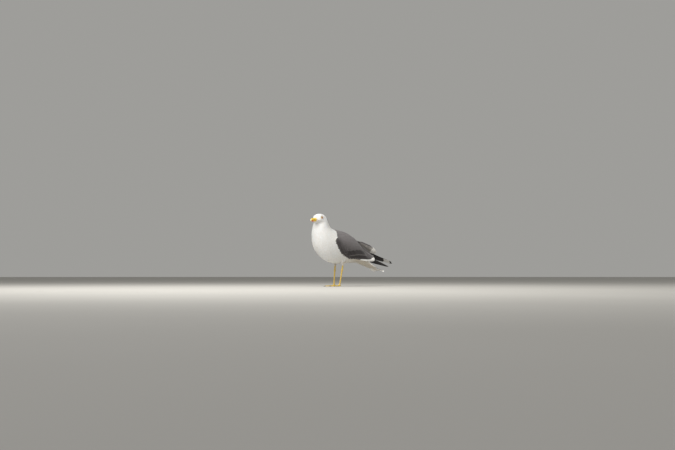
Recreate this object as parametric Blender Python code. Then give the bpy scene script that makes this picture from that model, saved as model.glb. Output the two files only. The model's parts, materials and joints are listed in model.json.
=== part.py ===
"""A lesser black-backed gull, life size, standing at rest on both feet.

The bird faces -X with its left side towards -Y, and stands on z = 0. Sizes are in
millimetres until a mesh is made. The body is one loft through rings, each set by its
point on the back, its point on the belly and its half width, and is parted into tail,
trunk, neck and head by thin cuts. The folded wings, bill, eyes, legs and feet are
modelled on to it, and every pair of neighbours is kept GAP apart.
"""

import math

import bmesh
import bpy
from mathutils import Matrix, Vector
from mathutils.bvhtree import BVHTree

MM = 0.001
GAP = 0.3  # clearance between pieces that touch
BODY_CLEARANCE = 2 * GAP  # under wings and thighs, where curved faces meet
TIPS_CLEARANCE = 4 * GAP  # between a wing and the primaries under it
SHARP_ANGLE = math.radians(40)

# Rings of the plumage outline, from the tail tip forward to the base of the bill:
# (back x, back z, belly x, belly z, half width, roundness of the section, end sweep).
TAIL_RINGS = [
    (279, 84, 278, 80.5, 43, 3.0, 13),  # tips of the tail feathers
    (254, 93.5, 252, 89, 42, 3.0, 7),
    (228, 104, 225, 97, 40, 2.8, 3),
    (202, 121, 196, 104, 38, 2.4, 0),  # end of the coverts that wrap the tail
]
TRUNK_RINGS = [
    (177, 152, 164, 112, 38, 2.2, 0),  # rump
    (151, 192, 124, 124, 45, 2.1, 0),
    (120, 232, 80, 123, 55, 2.1, 0),
    (80, 265, 30, 118, 62, 2.1, 0),  # belly
    (36, 287, -20, 119, 66, 2.1, 0),
    (-6, 294, -70, 133, 68, 2.1, 0),  # shoulders
    (-34, 299, -109, 162, 66, 2.1, 0),
    (-50, 306, -136, 203, 60, 2.1, 0),  # breast
]
NECK_RINGS = [
    (-60, 315, -146, 243, 53, 2.1, 0),
    (-68, 326, -147, 275, 46, 2.1, 0),
    (-72, 338, -144, 298, 40.5, 2.1, 0),
]
HEAD_RINGS = [
    (-76, 350, -141, 311, 36, 2.1, 0),  # nape to throat
    (-85, 362, -137.5, 317, 33.5, 2.2, 0),
    (-100, 370.5, -137, 320.5, 31.5, 2.2, 0),  # hind crown to cheek
    (-118, 373, -140, 323.5, 29.5, 2.2, 0),  # crown to chin
    (-134, 369.5, -144.5, 326, 25.5, 2.2, 0),  # forehead
    (-144.5, 361, -148.5, 328.5, 19.5, 2.1, 0),
    (-149.5, 351.5, -151.5, 330, 12.3, 2.0, 0),  # feather edge round the bill
]
RING_POINTS = 26
STEPS = 2  # rings between two neighbouring ones of a table, ends included

# The head is turned to the bird's left, about an upright line through the nape.
HEAD_TURN = math.radians(20)
TURN_X = -96
TURN_FROM_Z, TURN_TO_Z = 270, 322

# Half of a bill, along x: (x, outer edge z, cutting edge z, half width).
UPPER_BILL_RINGS = [
    (-147, 349.4, 339.4, 9.4),
    (-157, 349.0, 339.3, 7.2),
    (-167, 348.6, 338.9, 5.8),
    (-177, 347.6, 338.2, 4.8),
    (-185, 345.0, 337.2, 3.8),
    (-191, 340.6, 335.2, 2.5),
    (-194.5, 334.6, 332.8, 1.0),  # the hook
]
LOWER_BILL_RINGS = [
    (-149, 332.0, 338.8, 8.2),
    (-159, 331.2, 338.7, 6.4),
    (-169, 330.2, 338.2, 5.1),
    (-177, 329.4, 337.5, 4.3),  # the angle under the bill
    (-184, 331.8, 336.4, 3.2),
    (-189.5, 334.2, 335.4, 1.2),
]

BILL_POINTS = 10
BILL_FULLNESS = 0.85  # below 1, a bill half is fuller than half an ellipse

EYE_CENTRE = (-129, 20.4, 351)  # of the left eye, before the head is turned
EYE_RADIUS = 8.2
BALL_RINGS = 8

# Rings of a folded wing's outer face, from the bend to the tips of the tertials:
# (x, top edge y, top edge z, lower edge y, lower edge z, how far it bulges outwards).
WING_RINGS = [
    (-53, 50, 241, 50, 229, 2),
    (-40, 50, 251, 50, 204, 5),
    (-20, 48, 258, 50, 174, 8),
    (12, 44, 263, 50, 156, 8),
    (50, 36, 263, 52, 144, 8),
    (85, 27, 257, 50, 144, 8),
    (120, 15, 242, 46, 148, 8),
    (155, 6, 221, 42, 151, 7),
    (190, 3, 199, 38, 153, 6),
    (220, 4, 184, 33, 153, 4),
    (240, 9, 175, 28, 156, 2),
    (250, 13, 169, 24, 161, 1),
]
# The same for the long black primaries that reach past the tertials.
TIP_RINGS = [
    (188, 15, 171, 24, 149, 2),
    (220, 13, 160, 22, 134, 2),
    (255, 10, 149, 19, 125, 1.5),
    (300, 8, 133, 12, 118, 1),
    (333, 7, 121, 9, 113, 0.5),
    (349, 7, 115, 8, 112, 0.3),
]
WING_THICKNESS = 6
TIP_THICKNESS = 2.4
EDGE_THICKNESS = 1.4
COVER = 6  # how far the wing stands off the body it lies on, in its middle
EDGE_COVER = 2
CLOSES_WITHIN = 4  # an inner face nearer the body than this runs on into it
RUNS_INTO = 2
WING_POINTS = 8
BESIDE = 200  # a y outside the bird, to look for the body from
# The left wing hangs a little and sits forward, the right one is held high and back.
WING_DROP = 15
DROP_FROM_X, DROP_TO_X = 80, 200
TIP_DROP_SHARE = 0.45
TIP_FROM_X, TIP_TO_X = 220, 320
WING_SHIFT = 20
SHIFT_FROM_X, SHIFT_TO_X = 40, 320

# Each leg: the x of the foot joint, of the ankle and of the place it leaves the belly.
LEG_Y = 29
BELLY_Y = 34
LEFT_LEG_X = (-5, 9, 17)
RIGHT_LEG_X = (0, 8.5, 15)
# (z, half depth) down the thigh, from inside the belly to the bare leg.
THIGH_RINGS = [(150, 17), (134, 14), (124, 10.4), (116, 7.4), (111.5, 5.6), (108.5, 4.6)]
# (z, half width, half depth) down the bare leg, from the feathers to the foot.
LEG_RINGS = [
    (108.2, 3.5, 4.1),
    (95, 3.2, 3.9),
    (86, 4.3, 5.6),
    (80, 4.2, 5.2),
    (73, 3.0, 4.2),
    (40, 2.8, 3.8),
    (20, 2.9, 3.9),
    (11.3, 3.8, 4.8),
]
ANKLE_Z = 82
BELLY_Z = 134
SPREAD_Z = 120  # where a leg is BELLY_Y from the middle
THIGH_POINTS = 14
THIGH_FLATNESS = 0.85
LEG_POINTS = 12
# (z, half width) of the knuckle the toes spring from, and its depth for its width.
KNUCKLE_RINGS = [(-1, 5.0), (3, 5.6), (7, 5.2), (11, 3.9)]
KNUCKLE_DEPTH = 1.15

# Toes: name, angle outwards from straight ahead, length to the claw, claw length.
TOES = [("inner", -25, 40, 6.5), ("middle", -1, 52, 7.5), ("outer", 23, 48, 6.5)]
HIND_TOE = ("hind", -152, 9.5, 4.5)
TOE_POINTS = 10
TOE_RINGS = 7
TOE_RADIUS, TOE_END_RADIUS = 3.6, 2.0
TOE_HEIGHT, TOE_END_HEIGHT = 3.1, 1.6
TOE_JOINT = 0.25  # how far the joints swell
CLAW_HEIGHT = 1.9
# The hind toe: (distance from the foot's middle, radius, height) of its rings.
HIND_TOE_RINGS = [(0, 2.3, 7.5), (3, 2.15, 7.14), (6, 2.0, 6.78), (9.5, 1.825, 6.36)]
HIND_CLAW_HEIGHT = 6.2
CLAW_RINGS = 5
CLAW_RADIUS, CLAW_TIP_RADIUS = 1.5, 0.25
CLAW_TAPER = 0.8
CLAW_LIFT = 0.1
WEB_BOTTOM, WEB_TOP = 0.5, 2.1
WEB_SHORT = 1  # how much nearer than a toe's end the web stops
WEB_STEPS = 8
WEB_SAG = 0.16  # how far the web's front edge hollows, as a share of its depth
FLOOR_REACH, FLOOR_DEPTH = 80, 20  # of the block that cuts the soles flat

# Key, name, linear colour and roughness of every material.
MATERIALS = [
    ("white", "white_plumage", (0.86, 0.86, 0.84), 0.8),
    ("slate", "slate_plumage", (0.09, 0.09, 0.095), 0.7),
    ("black", "black_plumage", (0.012, 0.011, 0.012), 0.6),
    ("bill", "bill_horn", (0.75, 0.48, 0.06), 0.4),
    ("iris", "iris", (0.72, 0.62, 0.25), 0.15),
    ("leg", "leg_skin", (0.66, 0.5, 0.12), 0.55),
    ("claw", "claw_horn", (0.02, 0.018, 0.016), 0.4),
]


def smooth_step(value, low, high):
    """0 below low, 1 above high, and an even rise between them."""
    t = min(1.0, max(0.0, (value - low) / (high - low)))
    return t * t * (3 - 2 * t)


def through(table, steps=STEPS):
    """Rows that pass smoothly through a table's rows, by Catmull-Rom curves."""
    rows = []
    last = len(table) - 1
    for i in range(last):
        a, b, c, d = (table[max(0, min(last, i + k))] for k in (-1, 0, 1, 2))
        for step in range(steps):
            t = step / steps
            rows.append(
                [
                    0.5 * (2 * q + (r - p) * t + (2 * p - 5 * q + 4 * r - s) * t * t
                           + (3 * q - p - 3 * r + s) * t**3)
                    for p, q, r, s in zip(a, b, c, d)
                ]
            )
    rows.append(list(table[last]))
    return rows


def mesh_object(name, points, faces, material=None):
    """An object from points in millimetres, with its faces turned outwards."""
    mesh = bpy.data.meshes.new(name)
    mesh.from_pydata([[c * MM for c in p] for p in points], [], faces)
    work = bmesh.new()
    work.from_mesh(mesh)
    bmesh.ops.recalc_face_normals(work, faces=work.faces)
    work.to_mesh(mesh)
    work.free()
    made = bpy.data.objects.new(name, mesh)
    bpy.context.scene.collection.objects.link(made)
    if material:
        mesh.materials.append(material)
    return made


def loft(name, rings, material=None):
    """A closed skin over rings of equally many points, with a flat cap at each end."""
    count = len(rings[0])
    points = [p for ring in rings for p in ring]
    faces = []
    for r in range(len(rings) - 1):
        for i in range(count):
            j = (i + 1) % count
            a, b = r * count, (r + 1) * count
            faces.append([a + i, a + j, b + j])
            faces.append([a + i, b + j, b + i])
    faces.append(list(range(count)))
    faces.append([(len(rings) - 1) * count + i for i in range(count)])
    return mesh_object(name, points, faces, material)


def edit(obj, change):
    """Runs change on the object's mesh as a bmesh."""
    work = bmesh.new()
    work.from_mesh(obj.data)
    change(work)
    work.to_mesh(obj.data)
    work.free()
    return obj


def finished(obj):
    """The object with its modifiers applied."""
    graph = bpy.context.evaluated_depsgraph_get()
    mesh = bpy.data.meshes.new_from_object(obj.evaluated_get(graph))
    obj.modifiers.clear()
    obj.data = mesh
    return obj


def boolean(obj, other, operation):
    """Cuts other from obj, or joins it to obj, and removes other."""
    modifier = obj.modifiers.new(operation.title(), "BOOLEAN")
    modifier.operation = operation
    modifier.object = other
    finished(obj)
    bpy.data.objects.remove(other)
    return obj


def keep_largest(obj):
    """Removes the crumbs that a cut leaves beside the main piece."""

    def change(work):
        left = set(work.verts)
        islands = []
        while left:
            island, todo = set(), [left.pop()]
            while todo:
                vert = todo.pop()
                island.add(vert)
                near = {e.other_vert(vert) for e in vert.link_edges} & left
                left -= near
                todo += near
            islands.append(island)
        largest = max(islands, key=len)
        stray = [v for v in work.verts if v not in largest]
        bmesh.ops.delete(work, geom=stray, context="VERTS")

    return edit(obj, change)


def cut_off(obj, point, normal):
    """Removes what lies on the normal's side of a plane and closes the cut."""

    def change(work):
        whole = list(work.verts) + list(work.edges) + list(work.faces)
        cut = bmesh.ops.bisect_plane(
            work, geom=whole, plane_co=Vector(point) * MM, plane_no=normal,
            clear_outer=True, dist=1e-7,
        )
        rim = [e for e in cut["geom_cut"] if isinstance(e, bmesh.types.BMEdge)]
        bmesh.ops.contextual_create(work, geom=rim)
        bmesh.ops.recalc_face_normals(work, faces=work.faces)

    return edit(obj, change)


def copy_of(obj, name, material):
    """A copy of the object, in a material of its own."""
    made = bpy.data.objects.new(name, obj.data.copy())
    bpy.context.scene.collection.objects.link(made)
    made.data.materials.clear()
    made.data.materials.append(material)
    return made


def turned_with_head(obj):
    """Turns what lies above the shoulders to the left, more the higher it is."""
    pivot = Vector((TURN_X * MM, 0, 0))
    for vert in obj.data.vertices:
        share = smooth_step(vert.co.z / MM, TURN_FROM_Z, TURN_TO_Z)
        if share > 0:
            turn = Matrix.Rotation(HEAD_TURN * share, 3, "Z")
            vert.co = pivot + turn @ (vert.co - pivot)
    return obj


def grown(obj, amount):
    """A copy of the object, grown along its normals, to cut a gap with."""
    made = bpy.data.objects.new("cutter", obj.data.copy())
    bpy.context.scene.collection.objects.link(made)
    normals = [v.normal.copy() for v in made.data.vertices]
    for vert, normal in zip(made.data.vertices, normals):
        vert.co += normal * amount * MM
    return made


def body_ring(row, grow):
    """One ring of the body: a rounded outline between a back and a belly point."""
    back, belly = Vector((row[0], 0, row[1])), Vector((row[2], 0, row[3]))
    half_width, power, sweep = row[4] + grow, 2 / row[5], row[6]
    middle, half = (back + belly) / 2, (back - belly) / 2
    half = half.normalized() * (half.length + grow)
    ring = []
    for i in range(RING_POINTS):
        angle = 2 * math.pi * i / RING_POINTS
        up, out = math.cos(angle), math.sin(angle)
        up = math.copysign(abs(up) ** power, up)
        out = math.copysign(abs(out) ** power, out)
        point = middle + half * up
        ring.append((point.x - sweep * out * out, half_width * out, point.z))
    return ring


def body(name, grow=0.0):
    """The whole body, grown by some millimetres where it serves as a cutter."""
    table = TAIL_RINGS + TRUNK_RINGS + NECK_RINGS + HEAD_RINGS
    rings = [body_ring(row, grow) for row in through(table)]
    return turned_with_head(loft(name, rings))


def part_plane(row_behind, row_ahead):
    """Point and forward normal of the plane halfway between two body rings."""
    back = [(row_behind[k] + row_ahead[k]) / 2 for k in (0, 1)]
    belly = [(row_behind[k] + row_ahead[k]) / 2 for k in (2, 3)]
    normal = Vector((-(back[1] - belly[1]), 0, back[0] - belly[0])).normalized()
    return Vector((back[0], 0, back[1])), normal


def body_parts(materials):
    """Tail, trunk, neck and head, parted by thin cuts."""
    whole = body("whole_body")
    cuts = [
        part_plane(TAIL_RINGS[-1], TRUNK_RINGS[0]),
        part_plane(TRUNK_RINGS[-1], NECK_RINGS[0]),
        part_plane(NECK_RINGS[-1], HEAD_RINGS[0]),
    ]
    made = {}
    for i, name in enumerate(("tail", "trunk", "neck", "head")):
        piece = copy_of(whole, name, materials["white"])
        if i > 0:
            point, normal = cuts[i - 1]
            cut_off(piece, point + normal * GAP / 2, -normal)
        if i < 3:
            point, normal = cuts[i]
            cut_off(piece, point - normal * GAP / 2, normal)
        made[name] = piece
    bpy.data.objects.remove(whole)
    return made


def bill_half(name, table, material):
    """Upper or lower half of the bill: rounded outside, flat where the halves meet."""
    rings = []
    for x, outer, edge, width in through(table):
        ring = []
        for i in range(BILL_POINTS):
            angle = math.pi * i / (BILL_POINTS - 1)
            side, rise = math.cos(angle), abs(math.sin(angle)) ** BILL_FULLNESS
            ring.append((x, width * side, edge + (outer - edge) * rise))
        rings.append(ring)
    return loft(name, rings, material)


def ball(name, centre, radius, material=None):
    """A round ball."""
    rings = []
    for r in range(1, BALL_RINGS):
        tilt = math.pi * r / BALL_RINGS
        around = radius * math.sin(tilt)
        height = centre[2] + radius * math.cos(tilt)
        ring = round_ring((centre[0], centre[1], height), around, around, 2 * BALL_RINGS)
        rings.append(ring)
    return loft(name, rings, material)


def head_details(head, materials):
    """The eyes in their sockets and the two halves of the bill."""
    made = []
    for side, y_sign in (("left", -1), ("right", 1)):
        centre = (EYE_CENTRE[0], EYE_CENTRE[1] * y_sign, EYE_CENTRE[2])
        socket = turned_with_head(ball("socket", centre, EYE_RADIUS + GAP))
        boolean(head, socket, "DIFFERENCE")
        made.append(ball(f"{side}_eye", centre, EYE_RADIUS, materials["iris"]))
    made.append(bill_half("upper_bill", UPPER_BILL_RINGS, materials["bill"]))
    made.append(bill_half("lower_bill", LOWER_BILL_RINGS, materials["bill"]))
    point = Vector((HEAD_RINGS[-1][0], 0, HEAD_RINGS[-1][1]))
    belly = Vector((HEAD_RINGS[-1][2], 0, HEAD_RINGS[-1][3]))
    ahead = Vector((-(point.z - belly.z), 0, point.x - belly.x)).normalized()
    for piece in made[-2:]:
        cut_off(piece, point + ahead * GAP, -ahead)
    return [turned_with_head(piece) for piece in made]


def wing_spot(x, y, z, thick, cover, body_tree):
    """Outer and inner y of the wing at one spot, pushed clear of the body there."""
    hit = body_tree.ray_cast(Vector((x, BESIDE, z)) * MM, (0, -1, 0))[0]
    if hit is None:
        return y, y - thick
    skin = hit.y / MM
    outer = max(y, skin + cover)
    inner = outer - thick
    if skin > inner - CLOSES_WITHIN:
        inner = skin - RUNS_INTO
    return outer, inner


def wing_ring(row, thickness, raise_by, body_tree):
    """A ring of a folded right wing: an outer arc and, behind it, an inner one."""
    x, top_y, top_z, low_y, low_z, bulge = row
    tip = 1 - TIP_DROP_SHARE * smooth_step(x, TIP_FROM_X, TIP_TO_X)
    lift = raise_by * WING_DROP * smooth_step(x, DROP_FROM_X, DROP_TO_X) * tip
    x += raise_by * WING_SHIFT * smooth_step(x, SHIFT_FROM_X, SHIFT_TO_X)
    outer, inner = [], []
    for i in range(WING_POINTS):
        t = i / (WING_POINTS - 1)
        arch = 4 * t * (1 - t)
        y = top_y + (low_y - top_y) * t + bulge * arch
        z = top_z + (low_z - top_z) * t + lift
        thick = EDGE_THICKNESS + (thickness - EDGE_THICKNESS) * arch
        cover = EDGE_COVER + (COVER - EDGE_COVER) * arch
        outer_y, inner_y = wing_spot(x, y, z, thick, cover, body_tree)
        outer.append((x, outer_y, z))
        inner.append((x, inner_y, z))
    return outer + inner[::-1]


def wing_part(name, table, thickness, left, body_tree, material=None):
    """One part of a wing, lofted as on the right side and mirrored for the left."""
    side, raise_by = (-1, -1) if left else (1, 1)
    rings = [wing_ring(row, thickness, raise_by, body_tree) for row in through(table)]
    rings = [[(x, y * side, z) for x, y, z in ring] for ring in rings]
    return loft(name, rings, material)


def wings(materials):
    """Both folded wings and the primaries that stick out behind them."""
    made = []
    for name, left in (("left", True), ("right", False)):
        shape = body("shape")
        body_tree = BVHTree.FromObject(shape, bpy.context.evaluated_depsgraph_get())
        bpy.data.objects.remove(shape)
        wing = wing_part(f"{name}_wing", WING_RINGS, WING_THICKNESS, left, body_tree,
                         materials["slate"])
        tips = wing_part(f"{name}_primaries", TIP_RINGS, TIP_THICKNESS, left, body_tree,
                         materials["black"])
        boolean(tips, grown(wing, TIPS_CLEARANCE), "DIFFERENCE")
        for piece in (wing, tips):
            boolean(piece, body("cutter", BODY_CLEARANCE), "DIFFERENCE")
            keep_largest(piece)
        made += [wing, tips]
    return made


def round_ring(centre, half_width, half_depth, count=LEG_POINTS):
    """A level oval ring."""
    ring = []
    for i in range(count):
        angle = 2 * math.pi * i / count
        x = centre[0] + half_depth * math.cos(angle)
        y = centre[1] + half_width * math.sin(angle)
        ring.append((x, y, centre[2]))
    return ring


def leg_x(z, places):
    """Where along x a leg is at some height: foot, ankle and belly in two slopes."""
    foot_x, ankle_x, belly_x = places
    if z < ANKLE_Z:
        return foot_x + (ankle_x - foot_x) * z / ANKLE_Z
    return ankle_x + (belly_x - ankle_x) * (z - ANKLE_Z) / (BELLY_Z - ANKLE_Z)


def leg_y(z):
    """How far from the middle a leg is at some height."""
    return LEG_Y + (BELLY_Y - LEG_Y) * z / SPREAD_Z


def leg(name, side, places, materials):
    """The feathered thigh and the bare leg under it."""
    rings = []
    for z, depth in through(THIGH_RINGS):
        middle = (leg_x(z, places), leg_y(z) * side, z)
        rings.append(round_ring(middle, depth * THIGH_FLATNESS, depth, THIGH_POINTS))
    thigh = loft(f"{name}_thigh", rings, materials["white"])
    boolean(thigh, body("cutter", BODY_CLEARANCE), "DIFFERENCE")
    keep_largest(thigh)
    rings = []
    for z, width, depth in LEG_RINGS:
        middle = (leg_x(z, places), leg_y(z) * side, z)
        rings.append(round_ring(middle, width, depth))
    shank = loft(f"{name}_leg", rings, materials["leg"])
    return [thigh, shank]


def toe_ring(start, direction, along, radius, height):
    """A ring across a toe or claw."""
    across = Vector((-direction.y, direction.x, 0))
    ring = []
    for i in range(TOE_POINTS):
        angle = 2 * math.pi * (i + 0.5) / TOE_POINTS
        spot = start + direction * along + across * radius * math.cos(angle)
        ring.append((spot.x, spot.y, height + radius * math.sin(angle)))
    return ring


def toe_direction(angle, side):
    """Unit vector of a toe, its angle counted from straight ahead outwards."""
    turn = math.radians(angle)
    return Vector((-math.cos(turn), side * math.sin(turn), 0))


def web(start, side):
    """The thin web between the three front toes, with hollow front edges."""
    tips = []
    for _, angle, length, _ in TOES:
        tips.append(start + toe_direction(angle, side) * (length - WEB_SHORT))
    outline = [start]
    for a, b in zip(tips, tips[1:]):
        for i in range(WEB_STEPS):
            t = i / WEB_STEPS
            sag = (start - (a + b) / 2) * WEB_SAG * 4 * t * (1 - t)
            outline.append(a + (b - a) * t + sag)
    outline.append(tips[-1])
    rings = [[(p.x, p.y, z) for p in outline] for z in (WEB_BOTTOM, WEB_TOP)]
    return loft("web", rings)


def claw(name, start, direction, length, height, material):
    """A short curved claw that ends low."""
    rings = []
    for i in range(CLAW_RINGS):
        t = i / (CLAW_RINGS - 1)
        radius = CLAW_RADIUS * (1 - t) ** CLAW_TAPER + CLAW_TIP_RADIUS
        lowest = radius + CLAW_LIFT
        middle = height * (1 - t * t) + lowest * t * t
        rings.append(toe_ring(start, direction, length * t, radius, max(middle, lowest)))
    return loft(name, rings, material)


def below_floor(centre):
    """A block under the floor, that cuts the soles flat."""
    rings = []
    for z in (-FLOOR_DEPTH, 0):
        corners = [(-1, -1), (1, -1), (1, 1), (-1, 1)]
        rings.append([(centre.x + a * FLOOR_REACH, centre.y + b * FLOOR_REACH, z) for a, b in corners])
    return loft("cutter", rings)


def front_toe(start, direction, length):
    """A front toe, slimmer and lower towards its end, and swollen at the joints."""
    rings = []
    for i in range(TOE_RINGS):
        t = i / (TOE_RINGS - 1)
        joint = TOE_JOINT * math.sin(3 * math.pi * t) ** 2
        radius = TOE_RADIUS + (TOE_END_RADIUS - TOE_RADIUS) * t + joint
        height = TOE_HEIGHT + (TOE_END_HEIGHT - TOE_HEIGHT) * t
        rings.append(toe_ring(start, direction, length * t, radius, height))
    return loft("toe", rings)


def foot(name, side, x, materials):
    """A webbed foot with three front toes and a small raised hind toe, and claws."""
    start = Vector((x, LEG_Y * side, 0))
    knuckle = []
    for z, width in KNUCKLE_RINGS:
        knuckle.append(round_ring((x, start.y, z), width, width * KNUCKLE_DEPTH))
    made = loft(f"{name}_foot", knuckle, materials["leg"])
    claws = []
    for toe, angle, length, nail in TOES:
        direction = toe_direction(angle, side)
        boolean(made, front_toe(start, direction, length), "UNION")
        tip = start + direction * (length + GAP)
        name_of_claw = f"{name}_{toe}_claw"
        claws.append(claw(name_of_claw, tip, direction, nail, CLAW_HEIGHT, materials["claw"]))
    boolean(made, web(start, side), "UNION")
    toe, angle, length, nail = HIND_TOE
    direction = toe_direction(angle, side)
    rings = [toe_ring(start, direction, *row) for row in HIND_TOE_RINGS]
    boolean(made, loft("toe", rings), "UNION")
    tip = start + direction * (length + GAP)
    name_of_claw = f"{name}_{toe}_claw"
    claws.append(claw(name_of_claw, tip, direction, nail, HIND_CLAW_HEIGHT, materials["claw"]))
    boolean(made, below_floor(start), "DIFFERENCE")
    return [made, *claws]


def settle(objects):
    """Puts the middle of the bird's box over the origin and its soles on z = 0."""
    points = [v.co for obj in objects for v in obj.data.vertices]
    low = [min(p[k] for p in points) for k in range(3)]
    high = [max(p[k] for p in points) for k in range(3)]
    shift = Vector((-(low[0] + high[0]) / 2, -(low[1] + high[1]) / 2, -low[2]))
    for obj in objects:
        obj.data.transform(Matrix.Translation(shift))
    print("moved by (mm):", [round(c / MM, 2) for c in shift])


def material(name, colour, roughness):
    """A plain material."""
    made = bpy.data.materials.new(name)
    made.use_nodes = True
    shader = made.node_tree.nodes["Principled BSDF"]
    shader.inputs["Base Color"].default_value = (*colour, 1)
    shader.inputs["Roughness"].default_value = roughness
    shader.inputs["Metallic"].default_value = 0
    return made


def main():
    """Builds the whole bird in an empty scene."""
    for obj in list(bpy.data.objects):
        bpy.data.objects.remove(obj)
    materials = {key: material(*finish) for key, *finish in MATERIALS}
    parts = body_parts(materials)
    made = list(parts.values())
    made += head_details(parts["head"], materials)
    made += wings(materials)
    for name, side, places in (("left", -1, LEFT_LEG_X), ("right", 1, RIGHT_LEG_X)):
        made += leg(name, side, places, materials)
        made += foot(name, side, places[0], materials)
    settle(made)
    for obj in made:
        obj.data.shade_smooth()
        obj.data.set_sharp_from_angle(angle=SHARP_ANGLE)


main()
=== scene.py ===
# %% [markdown]
# A lesser black-backed gull stands at rest on both feet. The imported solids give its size
# and outline. This lesson lays the looks over them: one skin, some twenty thousand small
# feathers, the long quills of wings and tail, the bill, the eyes and the webbed feet.

# %% Start
import json
import math

import bmesh
import bpy
import numpy as np
from mathutils import Matrix, Vector
from mathutils.bvhtree import BVHTree


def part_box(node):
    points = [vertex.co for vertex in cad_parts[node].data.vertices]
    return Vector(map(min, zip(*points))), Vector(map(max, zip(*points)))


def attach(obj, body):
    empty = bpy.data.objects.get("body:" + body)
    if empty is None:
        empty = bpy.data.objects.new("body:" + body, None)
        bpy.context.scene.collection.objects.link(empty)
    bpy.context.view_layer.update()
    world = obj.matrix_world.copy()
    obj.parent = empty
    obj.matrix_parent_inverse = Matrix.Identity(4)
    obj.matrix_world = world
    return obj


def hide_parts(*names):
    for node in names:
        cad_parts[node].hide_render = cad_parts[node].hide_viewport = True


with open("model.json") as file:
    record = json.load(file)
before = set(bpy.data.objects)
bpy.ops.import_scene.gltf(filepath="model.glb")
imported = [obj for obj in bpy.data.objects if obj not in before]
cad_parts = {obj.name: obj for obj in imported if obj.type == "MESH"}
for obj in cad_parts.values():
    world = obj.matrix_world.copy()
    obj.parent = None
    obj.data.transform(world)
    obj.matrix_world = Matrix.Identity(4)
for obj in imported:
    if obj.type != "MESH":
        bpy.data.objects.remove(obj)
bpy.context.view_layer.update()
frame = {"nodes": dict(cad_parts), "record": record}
nodes = frame["nodes"]
MM = 0.001

# %% [markdown]
# Two landmarks carry every measure below. The feet meet the floor at the two soles, and
# the head is turned, so that its own directions come from the line between the eyes.

# %% Landmarks
soles = [Vector(m["pos_m"]) for m in frame["record"]["mounts"]]
FEET = Vector((soles[1].x, (soles[0].y + soles[1].y) / 2, 0))  # the left foot is a little ahead


def middle(name):
    """The middle of a node's box."""
    low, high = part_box(name)
    return (low + high) / 2


EYES = (middle("left_eye") + middle("right_eye")) / 2
RIGHT = (middle("right_eye") - middle("left_eye")).normalized()
UP = Vector((0, 0, 1))
AHEAD = UP.cross(RIGHT)
HEAD_TURN = math.atan2(-AHEAD.y, -AHEAD.x)


def at(x, y, z):
    """A point x behind the feet, y to the bird's right and z above the floor, in mm."""
    return FEET + Vector((x, y, z)) * MM


def on_head(ahead, right, up):
    """A point counted in mm from midway between the eyes, the way the head faces."""
    return EYES + (AHEAD * ahead + RIGHT * right + UP * up) * MM


print("head turned by", round(math.degrees(HEAD_TURN), 1), "degrees")

# %% [markdown]
# The camera stands low and far off, ahead of the bird on its left, and looks up a little.
# A wide, even grey floor and a soft overcast light from above leave white feathers white,
# and let the belly fall into shade, as under a high cloudy sky; its warm beige is painted shade in the feathers below.

# %% Colour and node helpers
def linear(code):
    """The linear colour of an sRGB hex code such as E8E4DC."""
    levels = [int(code[k : k + 2], 16) / 255 for k in (0, 2, 4)]
    return tuple(
        c / 12.92 if c <= 0.04045 else ((c + 0.055) / 1.055) ** 2.4 for c in levels
    ) + (1.0,)


def add_node(tree, kind, settings=None, inputs=None):
    """Adds a node. An input that is an output socket is linked, else its value is set."""
    made = tree.nodes.new(kind)
    for key, value in (settings or {}).items():
        setattr(made, key, value)
    for key, value in (inputs or {}).items():
        socket = made.inputs[key]
        if isinstance(value, bpy.types.NodeSocket):
            tree.links.new(value, socket)
        else:
            socket.default_value = value
    return made


def new_material(name):
    """An empty material, its node tree and its shader."""
    made = bpy.data.materials.new(name)
    made.use_nodes = True
    return made, made.node_tree, made.node_tree.nodes["Principled BSDF"]


# %% Camera and studio
DISTANCE = 4.875  # metres from the feet
BODY_TURN = math.radians(-35)
LOOK_UP = math.radians(3.1)
LENS = 50.0
EYE_HEIGHT = 0.055

away = Vector((math.sin(BODY_TURN), -math.cos(BODY_TURN), 0))
camera = bpy.data.objects.new("camera", bpy.data.cameras.new("camera"))
bpy.context.scene.collection.objects.link(camera)
camera.data.lens = LENS
camera.data.sensor_width = 36.0
camera.location = FEET + away * DISTANCE + UP * EYE_HEIGHT
PIXELS_TO_FEET = 0.5 / 937.5
camera.rotation_euler = (math.pi / 2 + LOOK_UP, 0, BODY_TURN - PIXELS_TO_FEET)
bpy.context.scene.camera = camera
bpy.context.scene.view_settings.view_transform = "Standard"


def mesh_piece(name, points, faces, material=None):
    """A smooth mesh object from points in metres."""
    mesh = bpy.data.meshes.new(name)
    mesh.from_pydata([tuple(p) for p in points], [], [tuple(f) for f in faces])
    mesh.shade_smooth()
    if material:
        mesh.materials.append(material)
    made = bpy.data.objects.new(name, mesh)
    bpy.context.scene.collection.objects.link(made)
    return made


def soft_light(name, place, size, watts, colour):
    """A square soft box that faces the bird's breast."""
    light = bpy.data.lights.new(name, "AREA")
    light.size = size
    light.energy = watts
    light.color = linear(colour)[:3]
    made = bpy.data.objects.new(name, light)
    bpy.context.scene.collection.objects.link(made)
    made.location = place
    made.rotation_euler = (at(0, 0, 220) - place).to_track_quat("-Z", "Y").to_euler()
    return made


toward = away
left_of_view = Vector((toward.y, -toward.x, 0))
soft_light("sky", at(0, 0, 2300) + toward * 1.3 + left_of_view * 0.7, 2.4, 92, "FFFDF9")
soft_light("fill", at(0, 0, 1850) + toward * 6.2 + left_of_view * 2.9, 5.3, 104, "F8F9FF")

world = bpy.data.worlds.new("overcast")
bpy.context.scene.world = world
world.use_nodes = True
world.node_tree.nodes["Background"].inputs["Color"].default_value = linear("C4C3BF")
world.node_tree.nodes["Background"].inputs["Strength"].default_value = 0.62

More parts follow.
